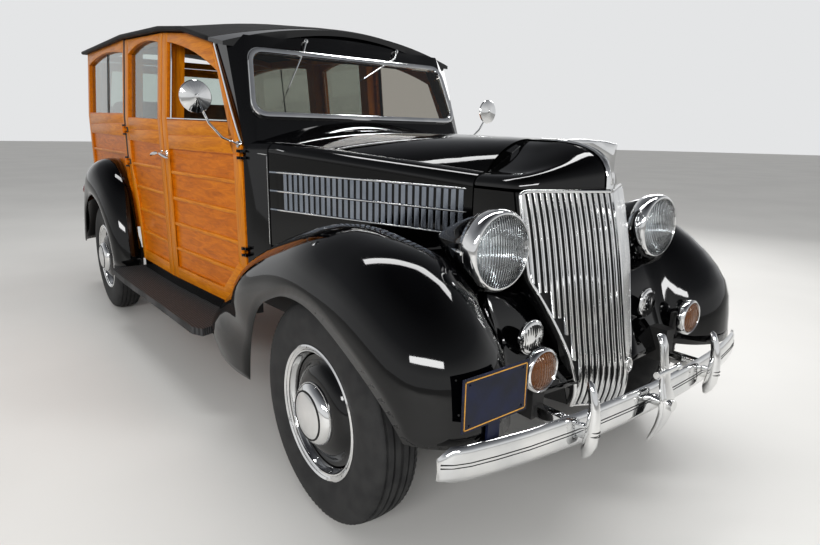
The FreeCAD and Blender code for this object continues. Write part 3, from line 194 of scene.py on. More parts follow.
def ribbed(name, codes, pitch, depth, roughness):
    # moulded rubber with raised ribs at the given pitch, in metres; the colour follows the ribs: darker in the grooves
    # as painted shade, lighter on the rib tops as painted highlight
    material, tree, place = newMaterial(name, {"Specular IOR Level": 0.3})
    wave = addNode(tree, "ShaderNodeTexWave", {"Scale": wavePitch / pitch}, {"Vector": place}).outputs["Fac"]
    # painted shade in the grooves and painted highlight on the rib tops, read from the ribs' own wave
    colour = addNode(tree, "ShaderNodeValToRGB", {"stops": ((0.2, codes[0]), (0.7, codes[1]))}, {"Fac": wave})
    dust = addNode(tree, "ShaderNodeTexNoise", {"Scale": 40, "Detail": 4}, {"Vector": place}).outputs["Fac"]
    return dressed(material, tree, colour.outputs["Color"], (dust, roughness, roughness + 0.2), (wave, 1.0, depth))


# polished black enamel: deep black with a wet, sharp reflection
blackEnamel = speckled("blackEnamel", {"Specular IOR Level": 0.42}, ("010101", "030304"), 0.4, (0.03, 0.07), 0.02,
                       0.00001)
# satin chassis black: brushed on, dusty
chassisBlack = speckled("chassisBlack", {}, ("0F0F10", "1B1A19"), 0.06, (0.42, 0.6), 0.004, 0.0003)
# bright chromium plate: mirror, with faint wiping haze
chromePlate = speckled("chromePlate", {"Metallic": 1.0}, ("DADBDC", "EDEDEC"), 0.12, (0.04, 0.1), 0.03, 0.00003)
# brushed stainless louvre fins: grey, slightly blue
brushedSteel = speckled("brushedSteel", {"Metallic": 1.0}, ("98A0AC", "A6ADB8"), 0.06, (0.2, 0.26), 0.004, 0.00004)
# coated roof cloth: matt charcoal with a fine leather-like grain
roofCloth = speckled("roofCloth", {"Specular IOR Level": 0.18}, ("0B0B0C", "141415"), 0.09, (0.5, 0.68), 0.0025,
                     0.0008)
# painted cast iron: dull grey green
engineIron = speckled("engineIron", {}, ("3B3F3B", "4C504A"), 0.05, (0.5, 0.7), 0.006, 0.0006)
# stained seat leather: brown with a fine pebble grain
seatLeather = speckled("seatLeather", {"Sheen Weight": 0.1}, ("4A2C18", "6A4225"), 0.08, (0.42, 0.58), 0.003, 0.0007)
# stoved plate enamel: bare navy blue, with an ochre edge line of the same enamel
plateEnamel = speckled("plateEnamel", {"Specular IOR Level": 0.3}, ("060B1C", "0C1430"), 0.05, (0.45, 0.55), 0.01,
                       0.0001)
ochreEnamel = speckled("ochreEnamel", {"Coat Weight": 0.2}, ("B9801A", "CF962A"), 0.03, (0.3, 0.4), 0.01, 0.0001)
# vulcanised tyre rubber: charcoal, dusty on the walls
tyreRubber = speckled("tyreRubber", {"Specular IOR Level": 0.3}, ("1C1C1D", "2B2B2B"), 0.05, (0.6, 0.8), 0.004,
                      0.0003)
# moulded rubber weather strip: dull black; the same black is also painted shade in grooves, slots, the gap behind the
# rear doors and behind the grille bars
blackRubberAndShade = speckled("blackRubberAndShade", {"Specular IOR Level": 0.3}, ("0E0E0F", "171717"), 0.03, (0.55, 0.7), 0.003,
                      0.0002)
# ribbed running-board mat: charcoal with 11 mm flutes along the car, painted darker in the grooves as shade and
# lighter on the tops as highlight
matRubber = ribbed("matRubber", ("19191A", "3A3A3B"), 0.011, 0.0022, 0.5)
# drawn window glass: clear and faintly green at the sides; the windscreen's glass is tinted grey-brown as painted
# shade, darkening the view into the cab
windowGlass = clear("windowGlass", "C6D2CC", 0.02, 0.0)
screenGlass = clear("screenGlass", "A39E94", 0.02, 0.0)
# fluted headlamp glass: clear with upright 9 mm flutes
flutedGlass = clear("flutedGlass", "F4F8FA", 0.03, 0.02, 0.009)
# cast amber and red lamp glass
amberGlass = clear("amberGlass", "96560A", 0.04, 0.08, 0.009, {"Transmission Weight": 0.7})
rubyGlass = clear("rubyGlass", "B01210", 0.04, 0.05, 0.006)
# instrument face: cream enamel
dialEnamel = speckled("dialEnamel", {"Coat Weight": 0.5}, ("D9CDA6", "E6DCBC"), 0.03, (0.25, 0.35), 0.01, 0.00005)
woodTones = {"board": ("A65400", "C46800", "D67A02"), "frame": ("B06004", "CA7606", "DA8810")}
# maple boards with the grain along the car, across it, and upright
boardWood = wood("varnishedBoards", (9, 0.9, 7), woodTones["board"], 1)
railWood = wood("varnishedRails", (9, 0.8, 9), woodTones["frame"], 2)
postWood = wood("varnishedPosts", (9, 9, 0.8), woodTones["frame"], 3)
crossWood = wood("varnishedCrossBoards", (0.9, 9, 7), woodTones["board"], 4)
crossRailWood = wood("varnishedCrossRails", (0.8, 9, 9), woodTones["frame"], 5)
print("materials made:", len(bpy.data.materials))

# A coat is a slot and the materials that a piece wears in it
enamel, enamelChrome = ("black_paint", blackEnamel), ("black_paint", blackEnamel, chromePlate)
bright, steel, cloth = ("chrome", chromePlate), ("chrome", brushedSteel), ("roof_fabric", roofCloth)
# black rubber seals, black joints and needles, and the same black as painted shade in grooves, slots, door gaps and
# behind the grille
rubberAndGapShade, shadeAndBlackCoat, chassis = ("chassis_paint", blackRubberAndShade), ("black_paint", blackRubberAndShade), ("chassis_paint", chassisBlack)
posts, rails = ("varnished_wood", postWood), ("varnished_wood", railWood)
crossRails, lampGlass = ("varnished_wood", crossRailWood), ("lamp_glass", flutedGlass)


# Making of pieces
def finishPiece(name, bm, coat, sharp=34, rides="root", nodes=()):
    # edges that turn more than sharp degrees stay hard
    for face in bm.faces:
        face.smooth = True
    for edge in bm.edges:
        edge.smooth = not (len(edge.link_faces) == 2 and edge.calc_face_angle(0) > radians(sharp))
    mesh = bpy.data.meshes.new(name)
    bm.to_mesh(mesh)
    bm.free()
    piece = bpy.data.objects.new(name, mesh)
    scene.collection.objects.link(piece)
    for material in coat[1:]:
        mesh.materials.append(material)
    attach(piece, rides)
    if nodes:
        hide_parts(*nodes)
    return piece


def smoothCopy(node, coat, sharp=30, pick=None):
    # a CAD node drawn smooth; pick gives the material's number from a face's x, station and height
    bm = bmesh.new()
    bm.from_mesh(frame["nodes"][node].data)
    bmesh.ops.remove_doubles(bm, verts=bm.verts, dist=0.00003)
    bmesh.ops.dissolve_degenerate(bm, edges=bm.edges, dist=0.00002)
    for face in bm.faces:
        centre = face.calc_center_median() * 1000
        face.material_index = int(pick(centre.x, centre.y + body["axle"], centre.z)) if pick else 0
    return finishPiece(node + "_smooth", bm, coat, sharp, node if node in frame["bodies"] else "root", (node,))


def modify(piece, kind, **settings):
    step = piece.modifiers.new(kind.lower(), kind)
    for key, value in settings.items():
        setattr(step, key, value)


def outward(bm):
    bmesh.ops.recalc_face_normals(bm, faces=bm.faces)
    return bm


def merged(bm, reach):
    bmesh.ops.remove_doubles(bm, verts=bm.verts, dist=reach / 1000)
    return bm


def bevelled(bm, edges, size):
    bmesh.ops.bevel(bm, geom=edges, offset=size / 1000, offset_type="OFFSET", affect="EDGES", segments=2,
                    profile=0.5, material=-1)
    return bm


def joined(parts, bm=None):
    bm = bm or bmesh.new()
    for part in parts:
        mesh = bpy.data.meshes.new("part")
        part.to_mesh(mesh)
        part.free()
        bm.from_mesh(mesh)
        bpy.data.meshes.remove(mesh)
    return bm


def loft(rows, closed=True, ends=(0, -1)):
    # bridges rows of points, in metres, and fills the end rows that are named
    bm = bmesh.new()
    loops = []
    for row in rows:
        points = [bm.verts.new(p) for p in row]
        loops.append([bm.edges.new(pair) for pair in zip(points, points[1:] + points[:closed])])
    for a, b in zip(loops, loops[1:]):
        bmesh.ops.bridge_loops(bm, edges=a + b)
    if ends:
        bmesh.ops.holes_fill(bm, edges=[edge for end in ends for edge in loops[end]], sides=0)
    return bm


def sheetOf(rows):
    return merged(loft(rows, False, ()), 0.2)


def spun(profile, centre, axis=alongCar, steps=64, closed=False):
    # turns a profile of (distance along the axis, radius) about an axis through the centre
    bm = bmesh.new()
    points = [bm.verts.new((r / 1000, 0, d / 1000)) for d, r in profile]
    edges = [bm.edges.new(pair) for pair in zip(points, points[1:] + points[:closed])]
    bmesh.ops.spin(bm, geom=points + edges, cent=(0, 0, 0), axis=(0, 0, 1), angle=2 * pi, steps=steps,
                   use_merge=True, use_duplicate=False)
    outward(merged(bm, 0.02))
    turn = upright.rotation_difference(Vector(axis)).to_matrix().to_4x4()
    bmesh.ops.transform(bm, verts=bm.verts, matrix=Matrix.Translation(centre) @ turn)
    return bm


def turned(prefix, facts, place, suffix, parts, axis=alongCar, rides="root"):
    # a piece for each part: its profile's name, steps, whether it closes, coat, sharp angle, and nodes
    for part, steps, closed, coat, sharp, *nodes in parts:
        finishPiece(prefix + part + suffix, spun(facts[part], place, axis, steps, closed), coat, sharp, rides, nodes)


def tube(points, radius, steps=12, caps=True):
    # a round bar through points in metres; the radius may change from point to point
    rows = []
    for n, place in enumerate(points):
        before, after = points[max(n - 1, 0)], points[min(n + 1, len(points) - 1)]
        turn = upright.rotation_difference((after - before).normalized())
        size = (radius[n] if isinstance(radius, (list, tuple)) else radius) / 1000
        rows.append([place + turn @ Vector((-size * sin(a), size * cos(a), 0))
                     for a in [2 * pi * k / steps for k in range(steps)]])
    return outward(loft(rows, ends=(0, -1) if caps else ()))


def bentBar(rows, half, thick):
    # a flat crowned bar along rows of (place, way across, way out); half is half its width
    section = ((-1, 0), (-0.8, 0.8), (0, 1), (0.8, 0.8), (1, 0))
    return outward(loft([[place + across * a * half / 1000 + out * (b * thick) / 1000 for a, b in section]
                         for place, across, out in rows]))


def boxAt(low, high, bevel=0.0):
    bm = bmesh.new()
    bmesh.ops.create_cube(bm, size=1, matrix=Matrix.Translation((high + low) / 2) @
                          Matrix.Diagonal((*(high - low), 1)))
    return bevelled(bm, bm.edges[:], bevel) if bevel else bm


def prismOf(outline, run):
    # a flat outline of points in metres, drawn out along a vector
    bm = bmesh.new()
    front = bm.faces.new([bm.verts.new(p) for p in outline])
    back = bmesh.ops.extrude_face_region(bm, geom=[front])["geom"]
    bmesh.ops.translate(bm, verts=[v for v in back if isinstance(v, bmesh.types.BMVert)], vec=run)
    return outward(bm)


# Wooden members laid on the body's skin. An outline is (station, height); a height under 100 is told from the belt,
# and None is the line under the eave.
member = {"proud": 1.6, "depth": 7.0, "round": 2.2, "stripHalf": 10, "stripProud": 12, "bends": (1750, 2455, 1450)}
woodwork = (
    {"name": "door_front_{0}_{1}", "rides": "door_front_{0}", "gap": 7, "strip": "strips",
     "arch": ((1110, mix(1420, 1628, 110 / 682)), (1682, 1628), 24),
     "header": (1682, 1600, 1500, 1400, 1300, 1216), "corner": ((1177, 1576),),
     "posts": (((1684, 427), (1746, 427), (1746, None), (1684, None)),
               ((889, 594), (962, 640), (962, 1106), (889, 1106)),
               ((889, 1110), (962, 1110), (1000, 1165), (1000, 1240), (1174, 1573), (1167, 1572), (890, 1140))),
     "rails": (((962, 1180), (1682, 1180), (1682, -2), (1002, -2), (1000, 1236)),
               ((962, 1110), (1682, 1110), (1682, 1177), (962, 1177)),
               ((1096, 427), (1682, 427), (1682, 487), (1130, 487), (964, 638), (890, 592))),
     "strips": ((990, 960, 1684), (856, 960, 1684), (722, 960, 1684), (588, 1020, 1684))},
    {"name": "door_rear_{0}_{1}", "rides": "door_rear_{0}", "gap": 7, "strip": "strips",
     "arch": ((1822, 1640), (2383, 1630), 34),
     "header": (2383, 2200, 2000, 1822), "corner": (),
     "posts": (((1754, 427), (1812, 427), (1820, 1160), (1820, None), (1754, None)),
               ((2385, 1142), (2451, 1142), (2451, None), (2385, None)),
               ((2264, 427), (2311, 427), (2341, 620), (2399, 830), (2451, 968), (2451, 1140), (2391, 1140),
                (2391, 990), (2320, 800), (2264, 487))),
     "rails": (((1816, 1202), (2389, 1202), (2389, -2), (1816, -2)),
               ((1816, 1128), (2389, 1142), (2389, 1199), (1816, 1199)),
               ((1814, 427), (2262, 427), (2262, 487), (1814, 487))),
     "strips": ((1002, 1814, 2387), (868, 1814, 2330), (734, 1814, 2296), (600, 1814, 2268))},
    {"name": "quarter_{1}_{0}", "rides": "root", "gap": 3, "strip": "strip",
     "arch": ((2515, 1650), (3658, 1668), 38),
     "header": (3658, 3400, 3100, 2800, 2515), "corner": (),
     "posts": (((2493, 960), (2513, 960), (2513, None), (2493, None)),
               ((3660, 598), (3719, 598), (3719, None), (3660, None))),
     "rails": (((2515, 1240), (3658, 1240), (3658, 10), (2515, 16)),
               ((2515, 1160), (3658, 1174), (3658, 1237), (2515, 1237))),
     "strips": ((1054, 2547, 3652),)},
)


def woodMember(outline, side, proud, depth, rounding):
    # proud lifts the member's face over the frame's skin
    bm = prismOf([(0, s / 1000, z / 1000) for s, z in outline], (-(depth + proud) / 1000, 0, 0))
    if rounding:
        bevelled(bm, [e for e in bm.edges if all(v.co.x > -0.0001 for v in e.verts)], rounding)
    cuts = [((0, body["start"] / 1000, body["beltLow"] / 1000), (0, -body["beltRise"] / body["run"], 1))]
    cuts += [((0, s / 1000, 0), (0, 1, 0)) for s in member["bends"]]
    for place, normal in cuts:
        bmesh.ops.bisect_plane(bm, geom=bm.verts[:] + bm.edges[:] + bm.faces[:], dist=0.00001, plane_co=place,
                               plane_no=normal)
    for v in bm.verts:
        s, z = v.co.y * 1000, v.co.z * 1000
        v.co = at(side * (skinAt(s, z) + proud + v.co.x * 1000), s, z)
    if side < 0:
        bmesh.ops.reverse_faces(bm, faces=bm.faces)
    return bm


def arcPoints(first, last, rise, count=14):
    # a shallow arch from one (station, height) to another
    shares = [n / count for n in range(count + 1)]
    return [(mix(first[0], last[0], a), mix(first[1], last[1], a) + rise * 4 * a * (1 - a)) for a in shares]


def stripRun(side, z, first, last):
    # a half-round strip on the recessed panels, its back 13 mm inside the skin
    rows = [(at(side * (skinAt(s, z) - 13), s, z), upright, Vector((side, 0, 0)))
            for s in [mix(first, last, n / 4) for n in range(5)]]
    return bentBar(rows, member["stripHalf"], member["stripProud"])


for facts in woodwork:
    for label, side in sides:
        header = (*arcPoints(*facts["arch"]), *[(s, None) for s in facts["header"]], *facts["corner"])
        rides = facts["rides"].format(label)
        for word, outlines, coat in (("posts", facts["posts"], posts), ("rails", (header, *facts["rails"]), rails)):
            parts = []
            for outline in outlines:
                outline = [(s, eaveAt(s) - facts["gap"] if z is None else z if z > 100 else beltAt(s) + z)
                           for s, z in outline]
                parts.append(woodMember(outline, side, member["proud"], member["depth"], member["round"]))
            finishPiece(facts["name"].format(label, word), joined(parts), coat, rides=rides)
        strips = joined(stripRun(side, *run) for run in facts["strips"])
        finishPiece(facts["name"].format(label, facts["strip"]), strips, rails, rides=rides)
for label, side in sides:
    # a dark strip filling the gap between the rear door and the quarter panel: painted shade of the gap
    seam = ((2458, 975), (2491, 975), (2491, eaveAt(2490) - 3), (2458, eaveAt(2461) - 3))
    finishPiece("seam_strip_" + label, woodMember(seam, side, 0.8, 5, 0), rubberAndGapShade)
print("wooden members laid")


# Fenders: arcs on planes round the wheels, drawn smooth between the rows
def arcThrough(first, middle, last, count):
    ab, ac = middle - first, last - first
    normal = ab.cross(ac)
    if normal.length < 1e-9:
        return [first.lerp(last, n / count) for n in range(count + 1)]
    toCentre = (normal.cross(ab) * ac.length_squared + ac.cross(normal) * ab.length_squared) / (
        2 * normal.length_squared)
    centre = first + toCentre
    across = (first - centre).normalized()
    up = normal.normalized().cross(across)
    if (last - centre).dot(up) < 0 and (middle - centre).dot(up) < 0:
        up = -up
    swing = atan2((last - centre).dot(up), (last - centre).dot(across)) % (2 * pi)
    radius = (first - centre).length
    return [centre + across * radius * cos(swing * n / count) + up * radius * sin(swing * n / count)
            for n in range(count + 1)]


def drawnSmooth(rows, steps):
    # a spline through each column of the rows
    out = []
    for n in range(len(rows) - 1):
        four = [rows[max(n - 1, 0)], rows[n], rows[n + 1], rows[min(n + 2, len(rows) - 1)]]
        for t in [k / steps for k in range(steps)]:
            out.append([0.5 * (2 * b + (c - a) * t + (2 * a - 5 * b + 4 * c - d) * t * t +
                               (3 * b - a - 3 * c + d) * t ** 3) for a, b, c, d in zip(*four)])
    return out + [rows[-1]]


fender = {
    "steps": 4, "wall": 2.4, "ends": (("front", 0, 14), ("rear", 2845, 12)),
    "front": (
        ((440, -478, 470), (590, -585, 470), (800, -478, 480)), ((440, -436, 590), (620, -545, 690), (822, -400, 572)),
        ((440, -333, 780), (640, -350, 868), (832, -232, 668)), ((440, -132, 806), (655, -120, 922), (834, -80, 722)),
        ((440, 60, 800), (660, 60, 926), (834, 60, 726)), ((480, 250, 780), (668, 250, 876), (830, 180, 690)),
        ((515, 440, 745), (668, 450, 800), (820, 290, 636)), ((560, 660, 700), (690, 640, 700), (806, 372, 560)),
        ((625, 880, 580), (710, 800, 560), (792, 440, 470)), ((618, 1076, 428), (735, 960, 424), (775, 500, 372)),
        ((625, 1080, 372), (745, 930, 345), (764, 540, 268)),
    ),
    "ledge": ((146, -500, 470), (190, -436, 570), (246, -316, 761), (268, -132, 736), (328, 60, 736),
              (391, 250, 736), (454, 440, 736), (528, 660, 704), (609, 880, 582)),
    "rear": (
        ((697.5, -462, 374), (785, -476, 374), (842, -395, 374)),
        ((697.5, -436, 600), (785, -446, 610), (850, -345, 560)),
        ((697.5, -352, 850), (780, -330, 860), (856, -215, 706)),
        ((693.5, -130, 1000), (776, -105, 1000), (860, -60, 764)),
        ((689, 130, 985), (772, 150, 970), (860, 120, 752)), ((684, 420, 800), (764, 430, 780), (854, 320, 650)),
        ((681, 600, 590), (754, 620, 560), (842, 480, 480)), ((680, 690, 378), (746, 716, 374), (830, 600, 372)),
    ),
}
for end, axle, count in fender["ends"]:
    for label, side in sides:
        rows = [path(side, [(x, s + axle, z) for x, s, z in row]) for row in fender[end]]
        whole = sheetOf([arcThrough(*row, count) for row in drawnSmooth(rows, fender["steps"])])
        if end == "front":
            ledge = drawnSmooth([[inner, row[0]] for inner, row in zip(path(side, fender["ledge"]), rows)],
                                fender["steps"])
            whole = merged(joined([whole, sheetOf([[row[0].lerp(row[1], n / 5) for n in range(6)]
                                                   for row in ledge])]), 0.6)
        piece = finishPiece("%s_fender_%s" % (end, label), outward(whole), enamel, 75, nodes=(end + "_fenders",))
        modify(piece, "SOLIDIFY", thickness=fender["wall"] / 1000, offset=0)
print("fenders drawn")

# Sheet-metal nodes drawn smooth
for coat, sharp, nodes in (
        (enamel, 30, ("cowl", "windscreen_surround", "dashboard", "valance")),
        (enamel, 26, ("hood_top_left", "hood_top_right")), (cloth, 50, ("roof",)),
        (bright, 24, ("rear_bumper", "windscreen_frame")),
        (chassis, 30, ("front_axle", "rear_axle", "exhaust", "fuel_tank", "knuckle_left", "knuckle_right"))):
    for node in nodes:
        smoothCopy(node, coat, sharp)
smoothCopy("steering_wheel", enamelChrome, pick=lambda x, s, z: hypot(x - 330, s - 1210, z - 1080) < 150)
noseShell = smoothCopy("nose_shell", enamelChrome, pick=lambda x, s, z: abs(x) < 14 and s > -255)
# the shell's own lid goes, and a smoother one takes its place
lower = bmesh.new()
lower.from_mesh(noseShell.data)
centres = [(f, f.calc_center_median()) for f in lower.faces]
bmesh.ops.delete(lower, geom=[f for f, c in centres if c.z > 1.0415 and c.y < -1.7318], context="FACES")
lower.to_mesh(noseShell.data)
lower.free()
print("sheet metal smoothed")

# Nose lid: from the hood's front arch forward to a V over the grille, drawn smooth. The flank and the face are rows
# of shares: across, forward and up.
nose = {
    "back": -134, "tip": -454, "corner": -322, "low": 1052, "top": 1193, "wall": 3, "narrow": 0.985,
    "arch": ((262, 1048), (259, 1062), (245, 1077), (225, 1085), (202, 1089), (150, 1117), (92, 1150), (44, 1178),
             (0, 1193)),
    "flank": ((0, 0, 0), (0.05, 0.06, 0), (0.3, 0.4, 0.03), (0.7, 0.75, 0.06)),
    "face": ((0.95, 0, 0.1), (0.6, 0.42, 0.5), (0.25, 0.8, 0.85), (0.07, 0.975, 0.98), (0, 1, 1)),
    "crest": (0.98, 0.9, 0.8, 0.7, 0.6, 0.5, 0.4, 0.3, 0.2, 0.1, 0.0),
    "blade": ((-250, 1193), (-330, 1198), (-420, 1193), (-455, 1186), (-463, 1186), (-459, 1150), (-458, 1100),
              (-463, 1064), (-450, 1062), (-440, 1100), (-430, 1130), (-400, 1160), (-350, 1180), (-250, 1188)),
}


def noseRow(share):
    angle = share * pi / 2
    reach = max(cos(angle), 0) ** 0.62
    step = int(share * 8)
    x, z = [mix(a, b, share * 8 - step) for a, b in zip(nose["arch"][step], nose["arch"][min(step + 1, 8)])]
    tipZ = nose["low"] + (nose["top"] - nose["low"]) * sin(angle) ** 0.72
    back, corner, tip = nose["back"], mix(nose["back"], nose["corner"], reach), mix(nose["back"], nose["tip"], reach)
    wide = x * nose["narrow"]
    half = [(mix(x, wide, a), mix(back, corner, b), mix(z, tipZ, c)) for a, b, c in nose["flank"]]
    half += [(wide * a, mix(corner, tip, b), mix(z, tipZ, c)) for a, b, c in nose["face"]]
    return path(1, half) + path(-1, half[-2::-1])


lid = outward(sheetOf(drawnSmooth([noseRow(n / 8) for n in range(9)], 3)))
lid = finishPiece("nose_lid", lid, enamel, 60)
modify(lid, "SUBSURF", levels=1, render_levels=1)
modify(lid, "SOLIDIFY", thickness=nose["wall"] / 1000)
# bright crest along the nose and the upright blade at its front
ridge = [noseRow(share)[8] for share in nose["crest"]]
rows = []
for n, place in enumerate(ridge):
    out = acrossCar.cross(ridge[min(n + 1, len(ridge) - 1)] - ridge[max(n - 1, 0)]).normalized()
    rows.append((place, acrossCar * (0.45 + 0.075 * n), -out if out.z < 0 else out))
finishPiece("nose_crest", bentBar(rows, 17, 6), bright, 50)
blade = prismOf([at(-5, s, z) for s, z in nose["blade"]], Vector((0.010, 0, 0)))
finishPiece("nose_blade", bevelled(blade, blade.edges[:], 3), bright, 40)

# Hood sides: louvres between bright rails, a handle, and bright trim on the cowl behind them; a bright line down the
# seam between hood and cowl and one down the crease between nose and fender are painted highlights
hood = {
    "front": -128, "half": 262, "run": 882, "spread": 294, "fins": 29, "first": -98, "pitch": 27, "low": 892,
    "high": 1034, "fin": ((-1, 0), (1.6, 0), (6.6, 14), (6.6, 17), (4, 17)), "railsAt": (886, 962, 1037),
    "rail": ((-112, 0.8), (-104, 3), (-60, 4.2), (200, 4.4), (480, 4.4), (690, 4.3), (706, 2)),
    "handle": ((330, 4, 300), (330, 22, 308), (330, 24, 330), (380, 22, 372), (380, 4, 380)), "handleAt": 790,
    "trim": ((556, 764, 1112), (571, 806, 1116), (598, 872, 1120)),
    "line": ((557.5, 765, 1106), (557.5, 765, 900), (557.5, 765, 745)),
    "bead": ((438, -318, 792), (439, -330, 770), (439, -352, 726), (439, -385, 672), (438, -420, 618),
             (437, -448, 560)),
    "pillar": ((1136, 882), (1582, 1164)), "pillarAt": (1150, 1200, 1300, 1400, 1500, 1570),
}


def hoodHalf(station):
    return hood["half"] + (station - hood["front"]) / hood["run"] * hood["spread"]


for label, side in sides:
    hoodSide = "hood_side_" + label
    smoothCopy(hoodSide, ("black_paint", blackEnamel, brushedSteel), 26,
               lambda x, s, z: abs(x) >= hoodHalf(s) + 0.6)
    fins = []
    for n in range(hood["fins"]):
        s = hood["first"] + n * hood["pitch"]
        x, low, high = hoodHalf(s), hood["low"] + n * 0.1, hood["high"] + n * 0.45
        fins.append(prismOf(path(side, [(x + lift, s + run, low) for lift, run in hood["fin"]]),
                            Vector((0, 0, (high - low) / 1000))))
    finishPiece("louvres_" + label, joined(fins), steel, 25, hoodSide)
    runs = [tube(path(side, [(hoodHalf(s) + 5.5, s, z + s * 0.012) for s, r in hood["rail"]]),
                 [r for s, r in hood["rail"]]) for z in hood["railsAt"]]
    finishPiece("louvre_rails_" + label, joined(runs), bright, 50, hoodSide)
    handle = path(side, [(hoodHalf(near) + out, s, hood["handleAt"]) for near, out, s in hood["handle"]])
    finishPiece("hood_handle_" + label, tube(handle, 5), bright, 50, hoodSide)
    # the second tube is a painted highlight along the seam between hood and cowl
    trim = joined([tube(path(side, hood["trim"]), (2, 4.5, 3.5), 10), tube(path(side, hood["line"]), 1.6, 8)])
    finishPiece("cowl_trim_" + label, trim, bright, 50)
    # a bright line down the crease between the nose and the fender: painted highlight
    finishPiece("fender_crease_highlight_" + label, tube(path(side, hood["bead"]), (1.5, 3, 3.2, 3.2, 3, 1.5), 10), bright, 50)
    rows = [(at(side * (skinAt(s, z) - 1), s - 9, z), Vector((0, 0.85, -0.5)), acrossCar * side)
            for s, z in [(along(hood["pillar"], z), z) for z in hood["pillarAt"]]]
    finishPiece("pillar_trim_" + label, bentBar(rows, 8, 3), bright, 50)

# Firewall: the sheet between the engine and the cab, inside the cowl
firewall = {"station": 771, "thick": 3, "half": 552, "arch": 492, "low": 562, "side": 1127, "spring": 1163,
            "crown": 1211}
outline = [(firewall["half"], firewall["low"]), (firewall["half"], firewall["side"]),
           (firewall["half"] - 17, firewall["side"] + 24)]
for k in range(6):
    x = firewall["arch"] * (1 - k / 6)
    outline.append((x, mix(firewall["spring"], firewall["crown"], 1 - (x / firewall["arch"]) ** 2)))
outline += [(0, firewall["crown"])] + [(-x, z) for x, z in reversed(outline)]
finishPiece("firewall", prismOf([at(x, firewall["station"], z) for x, z in outline],
                                alongCar * firewall["thick"] / 1000), enamel, 30)

# The cloth's rolled edge round the roof
roofRoll = {"overhang": 24, "edge": 16, "crown": 116, "corner": 1210, "front": 1062, "sweep": 148, "reach": 800,
            "round": 11, "stations": (3800, 3720, 3500, 3200, 2900, 2455, 2100, 1900, 1750, 1600, 1450, 1350, 1250)}


def roofHalf(station):
    return skinAt(station, eaveAt(station)) + roofRoll["overhang"]


def swept(x):
    return roofRoll["sweep"] * (x / roofRoll["reach"]) ** 2


corner = roofRoll["corner"] - roofRoll["sweep"] + swept(roofHalf(1170))
line = [(roofHalf(s) - 3, s, eaveAt(s) + roofRoll["edge"] - 4) for s in (*roofRoll["stations"], corner + 20)]
across = []
for k in range(-12, 13):
    x = -roofHalf(corner) * k / 12 * 0.985
    s = roofRoll["front"] + swept(x)
    across.append((x, s, eaveAt(s) + mix(roofRoll["edge"], roofRoll["crown"], 1 - (k / 12) ** 2) - 7))
finishPiece("roof_roll", tube(path(1, line + across) + path(-1, line[::-1]), roofRoll["round"]), cloth, 60)

# Windscreen frame: a rounded bright bead on the CAD ring. Base and top are station, height and half width.
screen = {"base": (884, 1258, 566), "top": (990, 1545, 532), "inset": 11, "round": 62, "front": 14, "tilt": 0.3538}
forward = Vector((0, -cos(screen["tilt"]), sin(screen["tilt"])))
inset = screen["inset"] / hypot(*[screen["top"][n] - screen["base"][n] for n in (0, 1)])
corners = []
for share, half, first in ((inset, screen["base"][2], -1), (1 - inset, screen["top"][2], 1)):
    s, z = [mix(screen["base"][n], screen["top"][n], share) for n in (0, 1)]
    for side in (first, -first):
        corners.append(at(side * (half - screen["inset"]), s, z) + forward * screen["front"] / 1000)
line = []
for n, corner in enumerate(corners):
    last, following = corners[n - 1], corners[(n + 1) % 4]
    before, after = [corner + (other - corner).normalized() * screen["round"] / 1000 for other in (last, following)]
    for share in [k / 8 for k in range(9)]:
        line.append(before.lerp(corner, share).lerp(corner.lerp(after, share), share))
    step = following + (corner - following).normalized() * screen["round"] / 1000
    line += [after.lerp(step, k / 4) for k in (1, 2, 3)]
rows = []
for n, place in enumerate(line + line[:1]):
    run = (line[(n + 1) % len(line)] - line[n - 1 if n < len(line) else -1]).normalized()
    rows.append((place, run.cross(forward), forward))
finishPiece("screen_bead", bentBar(rows, 11.5, 7), bright, 50)

# Grille: rounded upright bars on a V, cut off by a bright rim, with a dark sheet behind them as painted shade. The
# ridge is (height, station), the outline (height, half width).
grille = {
    "ridge": ((388, -548), (425, -560), (460, -565), (500, -565), (543, -559), (600, -548), (700, -531), (806, -512),
              (930, -486), (1040, -456)),
    "outline": ((388, 142), (427, 143), (480, 150), (550, 164), (617, 185), (684, 212), (743, 239), (779, 258),
                (800, 264), (830, 266), (898, 265), (972, 264), (1028, 261), (1036, 258), (1042, 250)),
    "slope": 0.52, "bars": 15, "pitch": 17.0, "half": 5.0, "thick": 9,
}


def grilleFace(x, z, lift):
    return at(x, along(grille["ridge"], z) + abs(x) * grille["slope"] - lift, z)


levels = [row[0] for row in drawnSmooth([[Vector((0, s, z))] for z, s in grille["ridge"]], 4)]
bars = []
for n in range(grille["bars"]):
    x = (n + 0.85) * grille["pitch"]
    foot = min((z for z, half in grille["outline"][:12] if half > x + 2), default=770) - 12
    for side in (1, -1):
        rows = [(at(side * x, p.y + x * grille["slope"] - 1, p.z), acrossCar, -alongCar)
                for p in levels if p.z >= foot]
        bars.append(bentBar(rows, grille["half"], grille["thick"]))
finishPiece("grille_bars", joined(bars), bright, 50, nodes=("grille",))
rims = []
for side in (1, -1):
    edge = [row[0] for row in drawnSmooth([[grilleFace(side * half, z, 5)] for z, half in grille["outline"]], 3)]
    top = [grilleFace(side * x, 1045, 5) for x in (240, 180, 120, 60, 3)]
    bottom = [grilleFace(side * x, 390, 3) for x in (3, 60, 110, 132)]
    rims.append(tube(bottom + edge + top, 6))
finishPiece("grille_rim", joined(rims), bright, 50)
spine = [(at(0, place.y - 3, place.z), acrossCar, -alongCar) for place in levels]
finishPiece("grille_spine", bentBar(spine, 6, 9), bright, 50)
